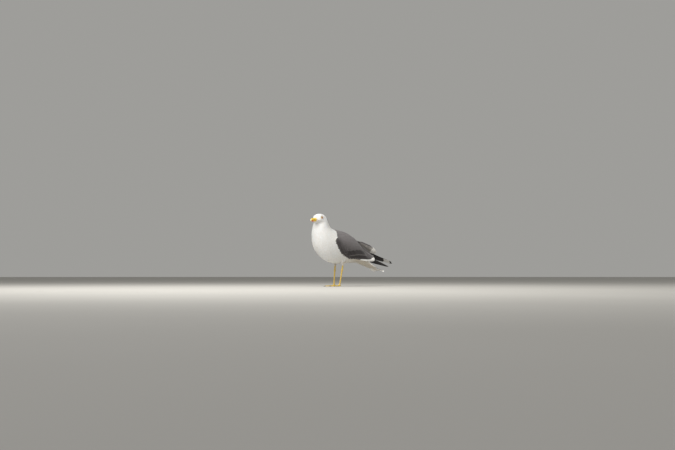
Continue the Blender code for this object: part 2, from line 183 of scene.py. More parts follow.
plaster, tree, shader = new_material("floor_of_painted_plaster")
place = add_node(tree, "ShaderNodeTexCoord")
cloud = add_node(tree, "ShaderNodeTexNoise", inputs={"Vector": place.outputs["Object"], "Scale": 1.4})
tint = add_node(tree, "ShaderNodeMix", {"data_type": "RGBA"}, {
    "Factor": cloud.outputs["Fac"], "A": linear("B9B7B2"), "B": linear("C3C1BC")})
tree.links.new(tint.outputs["Result"], shader.inputs["Base Color"])
shader.inputs["Roughness"].default_value = 0.85
FLOOR_REACH = 40.0
rim = [(FLOOR_REACH * math.cos(a), FLOOR_REACH * math.sin(a), 0)
       for a in np.linspace(0, 2 * math.pi, 64, endpoint=False)]
floor = mesh_piece("floor", rim, [range(64)], plaster)
print("camera at", [round(c, 3) for c in camera.location])

# %% [markdown]
# Under a gull's plumage is one skin, with no seam between head, neck, trunk and wings.
# The solids are joined, grown a little so that they overlap, wrapped in one sheet of
# small squares by a voxel remesh, and relaxed until no facet is left. That is the outer
# form, where the feather tips end. The skin is the same sheet sunk in by the depth of
# the coat, thin on the face and thick on the belly.

# %% Form helpers
def arrays(obj):
    """Points and normals of a mesh as arrays."""
    mesh = obj.data
    points = np.empty(len(mesh.vertices) * 3)
    mesh.vertices.foreach_get("co", points)
    normals = np.empty(len(mesh.vertices) * 3)
    mesh.vertex_normals.foreach_get("vector", normals)
    return points.reshape(-1, 3), normals.reshape(-1, 3)


def set_points(obj, points):
    """Moves a mesh's points."""
    obj.data.vertices.foreach_set("co", np.asarray(points, float).ravel())
    obj.data.update()


def edge_ends(obj):
    """The two point numbers of every edge."""
    ends = np.empty(len(obj.data.edges) * 2, int)
    obj.data.edges.foreach_get("vertices", ends)
    return ends[0::2], ends[1::2]


def neighbour_mean(values, ends):
    """For every point the mean of the values of the points beside it."""
    a, b = ends
    count = len(values)
    share = np.bincount(a, minlength=count) + np.bincount(b, minlength=count)
    columns = []
    for column in values.reshape(count, -1).T:
        total = np.bincount(a, column[b], count) + np.bincount(b, column[a], count)
        columns.append(total / np.maximum(share, 1))
    return np.stack(columns, 1).reshape(values.shape)


def relaxed(points, ends, rounds, keep=0.53):
    """Smooths points without shrinking: one step in, one slightly longer step out."""
    for _ in range(rounds):
        points = points + 0.5 * (neighbour_mean(points, ends) - points)
        points = points - keep * (neighbour_mean(points, ends) - points)
    return points


def gathered(name, members, grow, cut_at=None, grow_cut=None):
    """One mesh of copies of CAD nodes, grown outwards, ready to be wrapped."""
    work = bmesh.new()
    for member in members:
        part = bmesh.new()
        part.from_mesh(nodes[member].data)
        bmesh.ops.remove_doubles(part, verts=part.verts, dist=1e-6)
        if cut_at and member in cut_at:
            whole = list(part.verts) + list(part.edges) + list(part.faces)
            cut = bmesh.ops.bisect_plane(part, geom=whole, plane_co=cut_at[member],
                                         plane_no=(1, 0, 0), clear_outer=True)
            rim = [e for e in cut["geom_cut"] if isinstance(e, bmesh.types.BMEdge)]
            bmesh.ops.contextual_create(part, geom=rim)
        part.normal_update()
        moves = [(v, v.normal.copy()) for v in part.verts]
        for vert, normal in moves:
            vert.co += normal * (grow_cut if cut_at and member in cut_at else grow)
        mesh = bpy.data.meshes.new("part")
        part.to_mesh(mesh)
        part.free()
        work.from_mesh(mesh)
        bpy.data.meshes.remove(mesh)
    mesh = bpy.data.meshes.new(name)
    work.to_mesh(mesh)
    work.free()
    made = bpy.data.objects.new(name, mesh)
    bpy.context.scene.collection.objects.link(made)
    return made


def evaluated(obj):
    """Applies an object's modifiers to its mesh."""
    graph = bpy.context.evaluated_depsgraph_get()
    mesh = bpy.data.meshes.new_from_object(obj.evaluated_get(graph))
    obj.modifiers.clear()
    obj.data = mesh
    return obj


def wrapped(obj, voxel):
    """Wraps a mesh in one closed sheet of squares of about that size."""
    wrap = obj.modifiers.new("wrap", "REMESH")
    wrap.mode = "VOXEL"
    wrap.voxel_size = voxel
    return evaluated(obj)


def largest_island(obj):
    """Removes the crumbs that a remesh leaves at thin edges."""
    work = bmesh.new()
    work.from_mesh(obj.data)
    left, best = set(work.verts), set()
    while left:
        island, todo = set(), [left.pop()]
        while todo:
            vert = todo.pop()
            island.add(vert)
            near = {e.other_vert(vert) for e in vert.link_edges} & left
            left -= near
            todo += near
        best = max(best, island, key=len)
    bmesh.ops.delete(work, geom=[v for v in work.verts if v not in best], context="VERTS")
    work.to_mesh(obj.data)
    work.free()
    return obj


def smooth_step(value, low, high):
    """0 below low, 1 above high, and an even rise between them."""
    t = np.clip((np.asarray(value, float) - low) / (high - low), 0, 1)
    return t * t * (3 - 2 * t)


def distance_to(names, spots):
    """How far each place is from the nearest of some CAD nodes, in metres."""
    best = np.full(len(spots), np.inf)
    for name in names:
        work = bmesh.new()
        work.from_mesh(nodes[name].data)
        tree = BVHTree.FromBMesh(work)
        work.free()
        found = [tree.find_nearest(Vector(p))[3] for p in spots]
        best = np.minimum(best, found)
    return best


# %% The outer form
FLESH = ["head", "neck", "trunk", "tail", "left_thigh", "right_thigh", "left_wing", "right_wing"]
BODY = ["head", "neck", "trunk", "tail", "left_thigh", "right_thigh"]
WINGS = ["left_wing", "right_wing"]
GROW, WING_GROW = 0.5 * MM, 1.5 * MM  # a thin wing edge needs more for the wrap to hold
WING_ENDS = {"left_wing": at(206, 0, 0), "right_wing": at(216, 0, 0)}
form = gathered("form", FLESH, GROW, WING_ENDS, WING_GROW)
largest_island(wrapped(form, 2.2 * MM))
ends = edge_ends(form)
points, _ = arrays(form)
points = relaxed(points, ends, 45)
set_points(form, points)
points, normals = arrays(form)
wing_share = smooth_step(distance_to(BODY, points) - distance_to(WINGS, points), -2 * MM, 2 * MM)
points = points - normals * (GROW + (WING_GROW - GROW) * wing_share)[:, None]
WING_BLADE = 95  # mm behind the feet, where the wings leave the back as thin blades
blade = wing_share * smooth_step((points[:, 0] - FEET.x) / MM, WING_BLADE, WING_BLADE + 30)


def ironed(points, ends, share, rounds):
    """Evens out the lumps along thin edges, where share is above zero."""
    for _ in range(rounds):
        points = points + share[:, None] * (neighbour_mean(points, ends) - points)
    return points


points = ironed(points, ends, blade, 8)

# A brow over the eye, a hollow before it and a full cheek below: (ahead, right, up,
# spread, rise) in mm from midway between the eyes.
FACE_FORMS = [(3, 23, 10.5, 5.0, 1.4), (12, 17, 0, 5.5, -1.3), (-7, 25, -14, 9.0, 1.0), (0, 22, 0, 12.0, -1.0)]
spots_mm = (points - np.array(EYES)) / MM
places = np.stack([spots_mm @ np.array(axis) for axis in (AHEAD, RIGHT, UP)], 1)
for ahead, right, up, spread, rise in FACE_FORMS:
    for sign in (-1, 1):
        gap = np.linalg.norm(places - np.array([ahead, right * sign, up]), axis=1)
        points = points + normals * (rise * MM * np.exp(-(gap / spread) ** 2))[:, None]
set_points(form, points)
points, normals = arrays(form)
form.data.shade_smooth()
print("form:", len(points), "points")

# %% [markdown]
# Every feather needs to know its place: which way the coat lies there, how long it is,
# how deep its root sits, and whether it is white or slate. These are worked out once for
# each point of the form and kept as attributes. The lie follows a line from the bill
# over neck and trunk to the tail, as plumage does, because feathers point away from the
# wind of flight. On the legs it turns down, and on the wings it runs from bend to tip.

# %% Places on the bird
points_mm = (points - np.array(FEET)) / MM
TURN_X, TURN_FROM_Z, TURN_TO_Z = -96, 270, 322  # the neck's turn, from bottom to top


def straight(spots):
    """Places in mm with the turn of the neck taken out."""
    angle = -HEAD_TURN * smooth_step(spots[:, 2], TURN_FROM_Z, TURN_TO_Z)
    x, y = spots[:, 0] - TURN_X, spots[:, 1]
    cos, sin = np.cos(angle), np.sin(angle)
    return np.stack([TURN_X + x * cos - y * sin, x * sin + y * cos, spots[:, 2]], 1)


def turned_back(vectors, spots):
    """Directions with the turn of the neck put back in."""
    angle = HEAD_TURN * smooth_step(spots[:, 2], TURN_FROM_Z, TURN_TO_Z)
    cos, sin = np.cos(angle), np.sin(angle)
    x, y = vectors[:, 0], vectors[:, 1]
    return np.stack([x * cos - y * sin, x * sin + y * cos, vectors[:, 2]], 1)


body_gap = distance_to(["head", "neck", "trunk", "tail"], points)
wing_gap = distance_to(["left_wing", "right_wing"], points)
thigh_gap = distance_to(["left_thigh", "right_thigh"], points)
on_wing = smooth_step(body_gap - wing_gap, -0.6 * MM, 0.6 * MM)
on_thigh = smooth_step(body_gap - thigh_gap, -2 * MM, 2 * MM)
flat = straight(points_mm)
side = np.sign(points_mm[:, 1])
print("wing points:", int((on_wing > 0.5).sum()), "thigh points:", int((on_thigh > 0.5).sum()))

# %% The lie of the coat
# Places in mm along the middle of the body, from the bill to the tail, neck straight.
BODY_LINE = [(-150, 341), (-128, 345), (-110, 340), (-104, 318), (-102, 290), (-94, 262),
             (-72, 236), (-36, 214), (10, 200), (60, 184), (110, 165), (160, 140),
             (210, 112), (280, 82)]
WING_LIE = (0.965, 0.0, -0.26)
NEAR_POWER = 4


def along_line(line, spots):
    """The direction of a line at the places nearest to each spot, blended softly."""
    line = np.array([(x, 0, z) for x, z in line], float)
    steps = line[1:] - line[:-1]
    steps /= np.linalg.norm(steps, axis=1)[:, None]
    middles = (line[1:] + line[:-1]) / 2
    apart = np.linalg.norm(spots[:, None, :] - middles[None], axis=2)
    weight = 1 / apart**NEAR_POWER
    return (weight[:, :, None] * steps[None]).sum(1) / weight.sum(1)[:, None]


def on_surface(vectors, normals):
    """Directions laid flat on the surface."""
    flat_part = vectors - (vectors * normals).sum(1)[:, None] * normals
    return flat_part / np.maximum(np.linalg.norm(flat_part, axis=1), 1e-9)[:, None]


lie = along_line(BODY_LINE, flat)
bill_root = np.array([-152, 0, 341])
from_bill = flat - bill_root
from_bill_mm = np.linalg.norm(from_bill, axis=1)
round_face = (1 - smooth_step(from_bill_mm, 12, 45))[:, None]
lie = lie * (1 - round_face) + round_face * from_bill / from_bill_mm[:, None]
lie = turned_back(lie, points_mm)
lie = lie * (1 - on_wing[:, None]) + np.array(WING_LIE) * on_wing[:, None]
lie = lie * (1 - on_thigh[:, None]) + np.array([0.25, 0, -1.0]) * on_thigh[:, None]
for _ in range(12):
    lie = on_surface(neighbour_mean(lie, ends), normals)

# %% Length, depth, marking and painted shade
x, z = flat[:, 0], flat[:, 2]


def between(value, places, amounts):
    """Amounts read off between places along a value."""
    return np.interp(value, places, amounts)


feather_mm = between(x * 0.75 - z * 0.66, [-350, -320, -262, -190, -60, 60], [4.5, 7, 10, 13, 17, 20])
feather_mm = np.minimum(feather_mm, between(from_bill_mm, [0, 12, 45, 90], [3.0, 3.4, 6.5, 14]) + 40 * (z < 290))
wing_mm = between(x, [-60, 0, 80, 200], [7, 11, 17, 22])
feather_mm = feather_mm * (1 - on_wing) + wing_mm * on_wing
feather_mm = feather_mm * (1 - on_thigh) + 8 * on_thigh
eye_gap = np.minimum(np.linalg.norm(points - np.array(middle("left_eye")), axis=1),
                     np.linalg.norm(points - np.array(middle("right_eye")), axis=1)) / MM
feather_mm = np.minimum(feather_mm, 1.9 + 0.5 * np.maximum(eye_gap - 9.5, 0))

depth_mm = between(feather_mm, [3, 6, 10, 18], [0.7, 1.2, 1.7, 2.4])
depth_mm = depth_mm * (1 - on_wing) + 1.2 * on_wing
SADDLE_DEPTH = 1.3  # mm, where the coat lies flattest

# The slate saddle starts behind the shoulders, and at the wings' bend runs forward.
saddle_front = between(z, [225, 240, 256, 290, 310], [-64, -62, -46, -44, -40])
wing_middle_z = between(x, [-55, 0, 60, 120, 180], [235, 215, 205, 200, 180])
slate = smooth_step(x - saddle_front, -1.5, 1.5) * smooth_step(z - wing_middle_z, -2, 2)
slate = slate * (1 - smooth_step(x, 142, 150))
slate = np.maximum(slate, (on_wing > 0.5).astype(float))
ahead_of_wing = distance_to(["left_wing", "right_wing"], points + lie * 7 * MM) < 2.5 * MM
slate = np.maximum(slate, (ahead_of_wing & (x < 40)).astype(float))
# Painted light and shade: the slate is painted palest over the shoulders, where light falls from above,
# and near black along the wings' lower front edge, which faces down.
edge_z = between(x, [-53, -40, -20, 12, 50, 120], [229, 204, 174, 156, 144, 148]) + 15 * side * smooth_step(x, 80, 200)
shade = 1 - smooth_step(z - edge_z, 2, 88)
# The inner faces of the wings are painted palest, as if lit.
on_inner_face = (on_wing > 0.5) & (normals[:, 1] * side < 0.3) & (x > 100)
shade = np.where(on_inner_face, 0.0, shade)
# Under the rows of long coverts the small ones are left out, on the outer face.
plain_x = x - side * 20 * smooth_step(x, 40, 320)
plain_z = z - side * 15 * smooth_step(plain_x, 80, 200)
ROWS_TOP = [(0, 184), (100, 197), (150, 190), (162, 187), (172, 300)]
under_rows = ((on_wing > 0.5) & (normals[:, 1] * side > 0.3)
              & (plain_z < between(plain_x, *np.array(ROWS_TOP).T))
              & (plain_x > 8 + (184 - plain_z) * 0.75))
# Painted shade on the white coat: beige where it faces down, more towards the rear, and on the thighs.
painted_shade_below = smooth_step(-normals[:, 2], -0.2, 0.6) * smooth_step(x, -60, 140)
painted_shade_below = np.maximum(painted_shade_below, 0.8 * on_thigh)
shade = np.where(slate > 0.5, shade, painted_shade_below)
depth_mm = np.where((slate > 0.5) & (on_wing < 0.5), np.minimum(depth_mm, SADDLE_DEPTH), depth_mm)
for _ in range(2):
    feather_mm = neighbour_mean(feather_mm, ends)
    depth_mm = neighbour_mean(depth_mm, ends)


def inner_thickness(obj, points, normals):
    """How far it is from each point straight through to the other side."""
    graph = bpy.context.evaluated_depsgraph_get()
    tree = BVHTree.FromObject(obj, graph)
    found = []
    for point, normal in zip(points, normals):
        start = Vector(point) - Vector(normal) * 0.05 * MM
        hit = tree.ray_cast(start, -Vector(normal))[3]
        found.append(1.0 if hit is None else hit)
    return np.array(found)


thickness_mm = inner_thickness(form, points, normals) / MM
depth_mm = np.minimum(depth_mm, 0.3 * thickness_mm)
on_tail_top = (on_wing < 0.5) & (x > 206) & (normals[:, 2] > 0)
depth_mm = np.where(on_tail_top, np.minimum(0.5 * thickness_mm, 7), depth_mm)
bill_gap = distance_to(["upper_bill", "lower_bill"], points) / MM
print("feather length:", feather_mm.min().round(1), "to", feather_mm.max().round(1), "mm")

# %% Tracts
# Each part of the body is a tract of its own, with its own spacing of feathers.
TRACTS = ["none", "face", "crown", "neck", "breast", "belly", "mantle", "left_wing",
          "right_wing", "thigh"]
TAIL_COVERTS_END = 214  # mm behind the feet
tract = np.full(len(points), TRACTS.index("belly"))
tract[x < 20] = TRACTS.index("breast")
tract[(z > 262) & (x < -30)] = TRACTS.index("neck")
tract[(z > 305) & (x < -40)] = TRACTS.index("crown")
tract[(from_bill_mm < 42) & (z > 318)] = TRACTS.index("face")
tract[slate > 0.5] = TRACTS.index("mantle")
tract[on_thigh > 0.5] = TRACTS.index("thigh")
tract[(on_wing > 0.5) & (side < 0)] = TRACTS.index("left_wing")
tract[(on_wing > 0.5) & (side > 0)] = TRACTS.index("right_wing")
tract[(on_wing > 0.5) & ((x > 196) | ((thickness_mm < 3.2) & (x > 130)))] = TRACTS.index("none")
tract[((on_wing < 0.5) & (x > TAIL_COVERTS_END)) | on_tail_top] = TRACTS.index("none")
tract[under_rows] = TRACTS.index("none")
facing_in = (on_wing > 0.5) & (normals[:, 1] * side < -0.1) & (x > 80)
tract[facing_in] = TRACTS.index("none")
tract[(eye_gap < 10.2)] = TRACTS.index("none")
tract[bill_gap < 0.6] = TRACTS.index("none")
tract[(on_thigh > 0.5) & (z < 108.6)] = TRACTS.index("none")


def keep_on(obj, name, kind, values, domain="POINT", field="value"):
    """Stores values on a mesh as a named attribute."""
    attribute = obj.data.attributes.new(name, kind, domain)
    attribute.data.foreach_set(field, np.ascontiguousarray(values).ravel())


corner_points = np.array([p.vertices[0] for p in form.data.polygons])
keep_on(form, "lie", "FLOAT_VECTOR", lie, field="vector")
keep_on(form, "feather", "FLOAT", feather_mm * MM)
keep_on(form, "depth", "FLOAT", depth_mm * MM)
keep_on(form, "slate", "FLOAT", slate)
keep_on(form, "shade", "FLOAT", shade)
keep_on(form, "tract", "INT", tract[corner_points].astype(np.int32), "FACE")
print({name: int((tract == i).sum()) for i, name in enumerate(TRACTS)})

# %% [markdown]
# Feathers are made of keratin, and a gull's have no gloss: fine barbs scatter the light.
# The white ones are white because nothing in them absorbs light; their shade comes from
# overlap, and below, on belly, undertail and thighs, from a painted beige shade. The slate
# ones hold melanin, painted palest on top and near black low on the wings as painted light
# and shade. Each feather gets its own slight tone at random, and a pale or darker tip.

# %% Feather materials
BARB_MM = 0.55  # real barbs stand 0.2 mm apart, drawn coarser to show
MIRROR_PLACE, MIRROR_HALF = 0.80, 0.115  # along the outermost primary


def marked_quill(tree, plain, read):
    """Adds a quill's white tip and the mirror before it, a white spot painted pale grey as white in shade."""
    white_tip = add_node(tree, "ShaderNodeAttribute", {"attribute_name": "white_tip"})
    mirror = add_node(tree, "ShaderNodeAttribute", {"attribute_name": "mirror"})
    bow = add_node(tree, "ShaderNodeMath", {"operation": "ABSOLUTE"}, {0: read["across"]["Fac"]})
    along = add_node(tree, "ShaderNodeMath", {"operation": "MULTIPLY_ADD"}, {
        0: bow.outputs[0], 1: 0.03, 2: read["along"]["Fac"]})
    start = add_node(tree, "ShaderNodeMath", {"operation": "SUBTRACT"}, {
        0: 1.04, 1: white_tip.outputs["Fac"]})
    stop = add_node(tree, "ShaderNodeMath", {"operation": "ADD"}, {0: start.outputs[0], 1: 0.008})
    tip = add_node(tree, "ShaderNodeMapRange", {"interpolation_type": "SMOOTHSTEP"}, {
        "Value": along.outputs[0], "From Min": start.outputs[0], "From Max": stop.outputs[0]})
    tipped = add_node(tree, "ShaderNodeMix", {"data_type": "RGBA"}, {
        "Factor": tip.outputs["Result"], "A": plain.outputs["Result"], "B": linear("F3F1ED")})
    near = add_node(tree, "ShaderNodeMath", {"operation": "COMPARE"}, {
        0: along.outputs[0], 1: MIRROR_PLACE, 2: MIRROR_HALF})
    inner = add_node(tree, "ShaderNodeMath", {"operation": "MULTIPLY"}, {
        0: near.outputs[0], 1: mirror.outputs["Fac"]})
    mirrored = add_node(tree, "ShaderNodeMix", {"data_type": "RGBA"}, {
        "Factor": inner.outputs[0], "A": tipped.outputs["Result"], "B": linear("ADABA6")})
    below = add_node(tree, "ShaderNodeAttribute", {"attribute_name": "below_line"})
    hem = add_node(tree, "ShaderNodeMapRange", {"interpolation_type": "SMOOTHSTEP"}, {
        "Value": below.outputs["Fac"], "From Min": 0.2, "From Max": 1.0})
    return add_node(tree, "ShaderNodeMix", {"data_type": "RGBA"}, {
        "Factor": hem.outputs["Result"], "A": mirrored.outputs["Result"], "B": linear("F5F4F1")})


def plumage(name, plain, tone_and_shade, tip, sheen=0.12, roughness=0.72, quill=False, glow=0.0, painted_shade_below=None):
    """Vaned keratin: its plain colour, the colour its tone leads to as painted shade and random tone, and the colour
    of its tip.
    """
    made, tree, shader = new_material(name)
    read = {key: add_node(tree, "ShaderNodeAttribute", {"attribute_name": key}).outputs
            for key in ("tone", "along", "across")}
    tone = add_node(tree, "ShaderNodeMix", {"data_type": "RGBA"}, {
        "Factor": read["tone"]["Fac"], "A": linear(plain), "B": linear(tone_and_shade)})
    rim = add_node(tree, "ShaderNodeMath", {"operation": "ABSOLUTE"}, {0: read["across"]["Fac"]})
    outer = add_node(tree, "ShaderNodeMath", {"operation": "MULTIPLY_ADD"}, {
        0: rim.outputs[0], 1: 0.12, 2: read["along"]["Fac"]})
    edge = add_node(tree, "ShaderNodeMapRange", {"interpolation_type": "SMOOTHSTEP"}, {
        "Value": outer.outputs[0], "From Min": 0.9, "From Max": 1.06})
    tipped = add_node(tree, "ShaderNodeMix", {"data_type": "RGBA"}, {
        "Factor": edge.outputs["Result"], "A": tone.outputs["Result"], "B": linear(tip)})
    if quill:
        tipped = marked_quill(tree, tipped, read)
    # Painted shade below: the undersides of the quills turn beige, all but their rims and the outermost quills.
    if painted_shade_below:
        under = add_node(tree, "ShaderNodeAttribute", {"attribute_name": "under"}).outputs["Fac"]
        outermost = add_node(tree, "ShaderNodeAttribute", {"attribute_name": "mirror"}).outputs["Fac"]
        bright = add_node(tree, "ShaderNodeMath", {"operation": "MULTIPLY_ADD"}, {
            0: outermost, 1: 0.9, 2: rim.outputs[0]})
        inside = add_node(tree, "ShaderNodeMapRange", {"interpolation_type": "SMOOTHSTEP"}, {
            "Value": bright.outputs[0], "From Min": 0.86, "From Max": 0.6})
        share = add_node(tree, "ShaderNodeMath", {"operation": "MULTIPLY"}, {0: under, 1: inside.outputs["Result"]})
        tipped = add_node(tree, "ShaderNodeMix", {"data_type": "RGBA"}, {
            "Factor": share.outputs[0], "A": tipped.outputs["Result"], "B": linear(painted_shade_below)})
    slant = add_node(tree, "ShaderNodeMath", {"operation": "MULTIPLY_ADD"}, {
        0: read["across"]["Fac"], 1: -0.35, 2: read["along"]["Fac"]})
    spot = add_node(tree, "ShaderNodeCombineXYZ", inputs={
        "X": slant.outputs[0], "Z": read["tone"]["Fac"]})
    barbs = add_node(tree, "ShaderNodeTexNoise", inputs={
        "Vector": spot.outputs[0], "Scale": 34.0, "Detail": 1.0})
    shade = add_node(tree, "ShaderNodeMix", {"data_type": "RGBA", "blend_type": "MULTIPLY"}, {
        "Factor": 0.16, "A": tipped.outputs["Result"], "B": barbs.outputs["Fac"]})
    bump = add_node(tree, "ShaderNodeBump", inputs={
        "Height": barbs.outputs["Fac"], "Strength": 0.25, "Distance": 0.2 * MM})
    tree.links.new(shade.outputs["Result"], shader.inputs["Base Color"])
    tree.links.new(bump.outputs["Normal"], shader.inputs["Normal"])
    shader.inputs["Roughness"].default_value = roughness
    shader.inputs["Sheen Weight"].default_value = sheen
    shader.inputs["Specular IOR Level"].default_value = 0.3
    shader.inputs["Subsurface Weight"].default_value = glow
    shader.inputs["Subsurface Radius"].default_value = (0.0022, 0.002, 0.0018)
    return made


# Grown white keratin: matt, a warm white that never mirrors; its beige second colour is painted shade, with a little
# random tone.
WHITE = plumage("white_feather_grown_keratin", "FBFBFA", "CDC1AC", "FEFEFD", glow=0.5)
# Melanin in the vane: slate, warmer and paler where it is worn at the tip, and near black as painted shade.
SLATE = plumage("slate_feather_melanin_keratin", "797576", "2D2829", "827E7D")
# The same vanes in the long quills, with white tips.
QUILL_SLATE = plumage("slate_quill_melanin_keratin", "797576", "2D2829", "827E7D", quill=True)
# The slate of the wings' inner faces and of the innermost quills is painted a paler grey, as if lit.
QUILL_SLATE_PAINTED_LIGHTER = plumage("bleached_quill_thin_melanin", "9E9A97", "6F6A67", "C4BFB9", quill=True)
QUILL_BLACK = plumage("black_quill_dense_melanin", "1B1918", "262321", "34302D",
                      roughness=0.5, quill=True)
# White quills of the tail; their undersides are painted a beige shade, all but the rims and the outermost quills.
QUILL_WHITE = plumage("white_quill_grown_keratin", "F8F7F4", "EEEAE4", "FEFEFD", glow=0.7, painted_shade_below="C9BEA9")

# Skin under the coat carries the same markings, as its down does.
down, tree, shader = new_material("down_over_skin")
read = add_node(tree, "ShaderNodeAttribute", {"attribute_name": "slate"})
place = add_node(tree, "ShaderNodeTexCoord")
fluff = add_node(tree, "ShaderNodeTexNoise", inputs={
    "Vector": place.outputs["Object"], "Scale": 900.0, "Detail": 3.0})
coat = add_node(tree, "ShaderNodeMix", {"data_type": "RGBA"}, {
    "Factor": read.outputs["Fac"], "A": linear("E9E5DE"), "B": linear("565252")})
shade = add_node(tree, "ShaderNodeMix", {"data_type": "RGBA", "blend_type": "MULTIPLY"}, {
    "Factor": 0.2, "A": coat.outputs["Result"], "B": fluff.outputs["Fac"]})
tree.links.new(shade.outputs["Result"], shader.inputs["Base Color"])
bump = add_node(tree, "ShaderNodeBump", inputs={
    "Height": fluff.outputs["Fac"], "Strength": 0.4, "Distance": 0.4 * MM})
tree.links.new(bump.outputs["Normal"], shader.inputs["Normal"])
shader.inputs["Roughness"].default_value = 0.85

# %% The skin and its unwrap
def unwrapped(obj, name="OFBake", angle=66):
    """Gives a mesh a UV map of its own shape, cut where it turns sharply."""
    obj.data.uv_layers.new(name=name)
    bpy.context.view_layer.objects.active = obj
    for other in bpy.context.selected_objects:
        other.select_set(False)
    obj.select_set(True)
    bpy.ops.object.mode_set(mode="EDIT")
    bpy.ops.mesh.select_all(action="SELECT")
    bpy.ops.uv.smart_project(angle_limit=math.radians(angle), island_margin=0.002)
    bpy.ops.object.mode_set(mode="OBJECT")
    return obj


unwrapped(form)
skin = bpy.data.objects.new("skin", form.data.copy())
bpy.context.scene.collection.objects.link(skin)
WING_TOP = [(85, 257), (120, 242), (155, 221), (190, 199), (220, 184), (250, 169)]
crest = smooth_step(plain_z - between(plain_x, *np.array(WING_TOP).T), -9, -2)
crest = crest * (on_wing > 0.5) * smooth_step(plain_x, 115, 140)
under_quills = on_wing * smooth_step(plain_x, 160, 176)
sunk_mm = depth_mm + under_quills * (np.minimum(0.42 * thickness_mm, 2.5) - depth_mm)
lowered = np.outer(crest * 4.5, (0, 0, 1))
set_points(skin, ironed(points - normals * (sunk_mm * MM)[:, None] - lowered * MM, ends, blade, 8))
skin.data.materials.append(down)
TAIL_CUT_Z = 128  # the wings over the tail stay as they are
work = bmesh.new()
work.from_mesh(skin.data)
beyond = [f for f in work.faces
          if (f.calc_center_median() - FEET).x > (TAIL_COVERTS_END + 4) * MM
          and (f.calc_center_median() - FEET).z < TAIL_CUT_Z * MM]
bmesh.ops.delete(work, geom=beyond, context="FACES")
bmesh.ops.holes_fill(work, edges=[e for e in work.edges if e.is_boundary])
work.to_mesh(skin.data)
work.free()
print("skin sunk in by", depth_mm.min().round(2), "to", depth_mm.max().round(2), "mm")

# %% [markdown]
# A contour feather is a thin curved vane with a rounded tip. One small closed vane of
# thirty-two triangles is drawn here, one long and one wide, so that the tree can scale
# it. It carries its own places along and across, and how high its surface stands.

# %% One vane
# (along, half width): a soft body feather tapers, a covert is broad and round.
SOFT_VANE = [(0.26, 0.34), (0.58, 0.50), (0.82, 0.36), (0.94, 0.16)]
COVERT_VANE = [(0.26, 0.36), (0.62, 0.50), (0.88, 0.40), (0.97, 0.20)]
DOME = 0.036
VANE_THICK = 0.02
PATCH = 0.003  # the size of one feather on the unwrap


def vane(name, stations, dome, thick):
    """A closed vane, its ridge over the shaft, from a root point to a tip point."""
    spots = [(0, 0, 0)]
    for along, half in stations:
        ridge = dome * math.sin(math.pi * min(1, along * 0.9 + 0.1))
        spots += [(along, -half, 0), (along, 0, ridge), (along, half, 0), (along, 0, ridge - thick)]
    spots.append((1, 0, 0))
    last = len(spots) - 1
    faces = []
    for k in range(4):
        n = (k + 1) % 4
        faces.append((0, 1 + n, 1 + k))
        faces.append((last, last - 4 + k, last - 4 + n))
        for row in range(len(stations) - 1):
            a = 1 + 4 * row
            faces.append((a + k, a + n, a + 4 + n, a + 4 + k))
    made = mesh_piece(name, spots, faces)
    work = bmesh.new()
    work.from_mesh(made.data)
    bmesh.ops.recalc_face_normals(work, faces=work.faces)
    work.to_mesh(made.data)
    work.free()
    spots = np.array(spots)
    keep_on(made, "along", "FLOAT", spots[:, 0])
    keep_on(made, "across", "FLOAT", spots[:, 1] * 2)
    keep_on(made, "rise", "FLOAT", spots[:, 2])
    rims = [abs(spots[e.vertices[0], 1]) + abs(spots[e.vertices[1], 1]) > 0.3
            and spots[e.vertices[0], 2] == 0 and spots[e.vertices[1], 2] == 0
            for e in made.data.edges]
    keep_on(made, "sharp_edge", "BOOLEAN", np.array(rims), "EDGE")
    made.data.materials.append(WHITE)
    return made


soft_vane = vane("soft_vane", SOFT_VANE, DOME, VANE_THICK)
covert_vane = vane("covert_vane", COVERT_VANE, DOME, VANE_THICK)
print("one vane:", sum(len(f.vertices) - 2 for f in soft_vane.data.polygons), "triangles")

# %% [markdown]
# Laying a coat follows one rule on every part of the body, so a node tree does it. It
# scatters roots evenly over one tract, sets a vane on each along the lie, and turns it a
# little at random. Then it seats every point of every vane on the form: the root down at
# the skin, the tip up at the outline, so that each feather rests on the next.

# %% The tree that lays a coat
def group_input(tree, name, kind, value=None):
    """Adds a named input to a geometry tree."""
    made = tree.interface.new_socket(name=name, in_out="INPUT", socket_type=kind)
    if value is not None:
        made.default_value = value
    return made.identifier


def read_attribute(tree, name, kind="FLOAT"):
    """The values of a named attribute."""
    return add_node(tree, "GeometryNodeInputNamedAttribute", {"data_type": kind},
                    {"Name": name}).outputs["Attribute"]


def store(tree, geometry, name, kind, value, domain="POINT"):
    """Keeps a value on the geometry under a name."""
    return add_node(tree, "GeometryNodeStoreNamedAttribute",
                    {"data_type": kind, "domain": domain},
                    {"Geometry": geometry, "Name": name, "Value": value}).outputs["Geometry"]


def maths(tree, operation, *values):
    """One sum on numbers."""
    return add_node(tree, "ShaderNodeMath", {"operation": operation},
                    dict(enumerate(values))).outputs[0]


def vector_maths(tree, operation, first, second=None, scale=None):
    """One sum on vectors."""
    inputs = {0: first}
    if second is not None:
        inputs[1] = second
    if scale is not None:
        inputs["Scale"] = scale
    return add_node(tree, "ShaderNodeVectorMath", {"operation": operation}, inputs).outputs[0]


def chance(tree, low, high, seed):
    """A random number for every point."""
    return add_node(tree, "FunctionNodeRandomValue", {"data_type": "FLOAT"},
                    {"Min": low, "Max": high, "Seed": seed}).outputs["Value"]


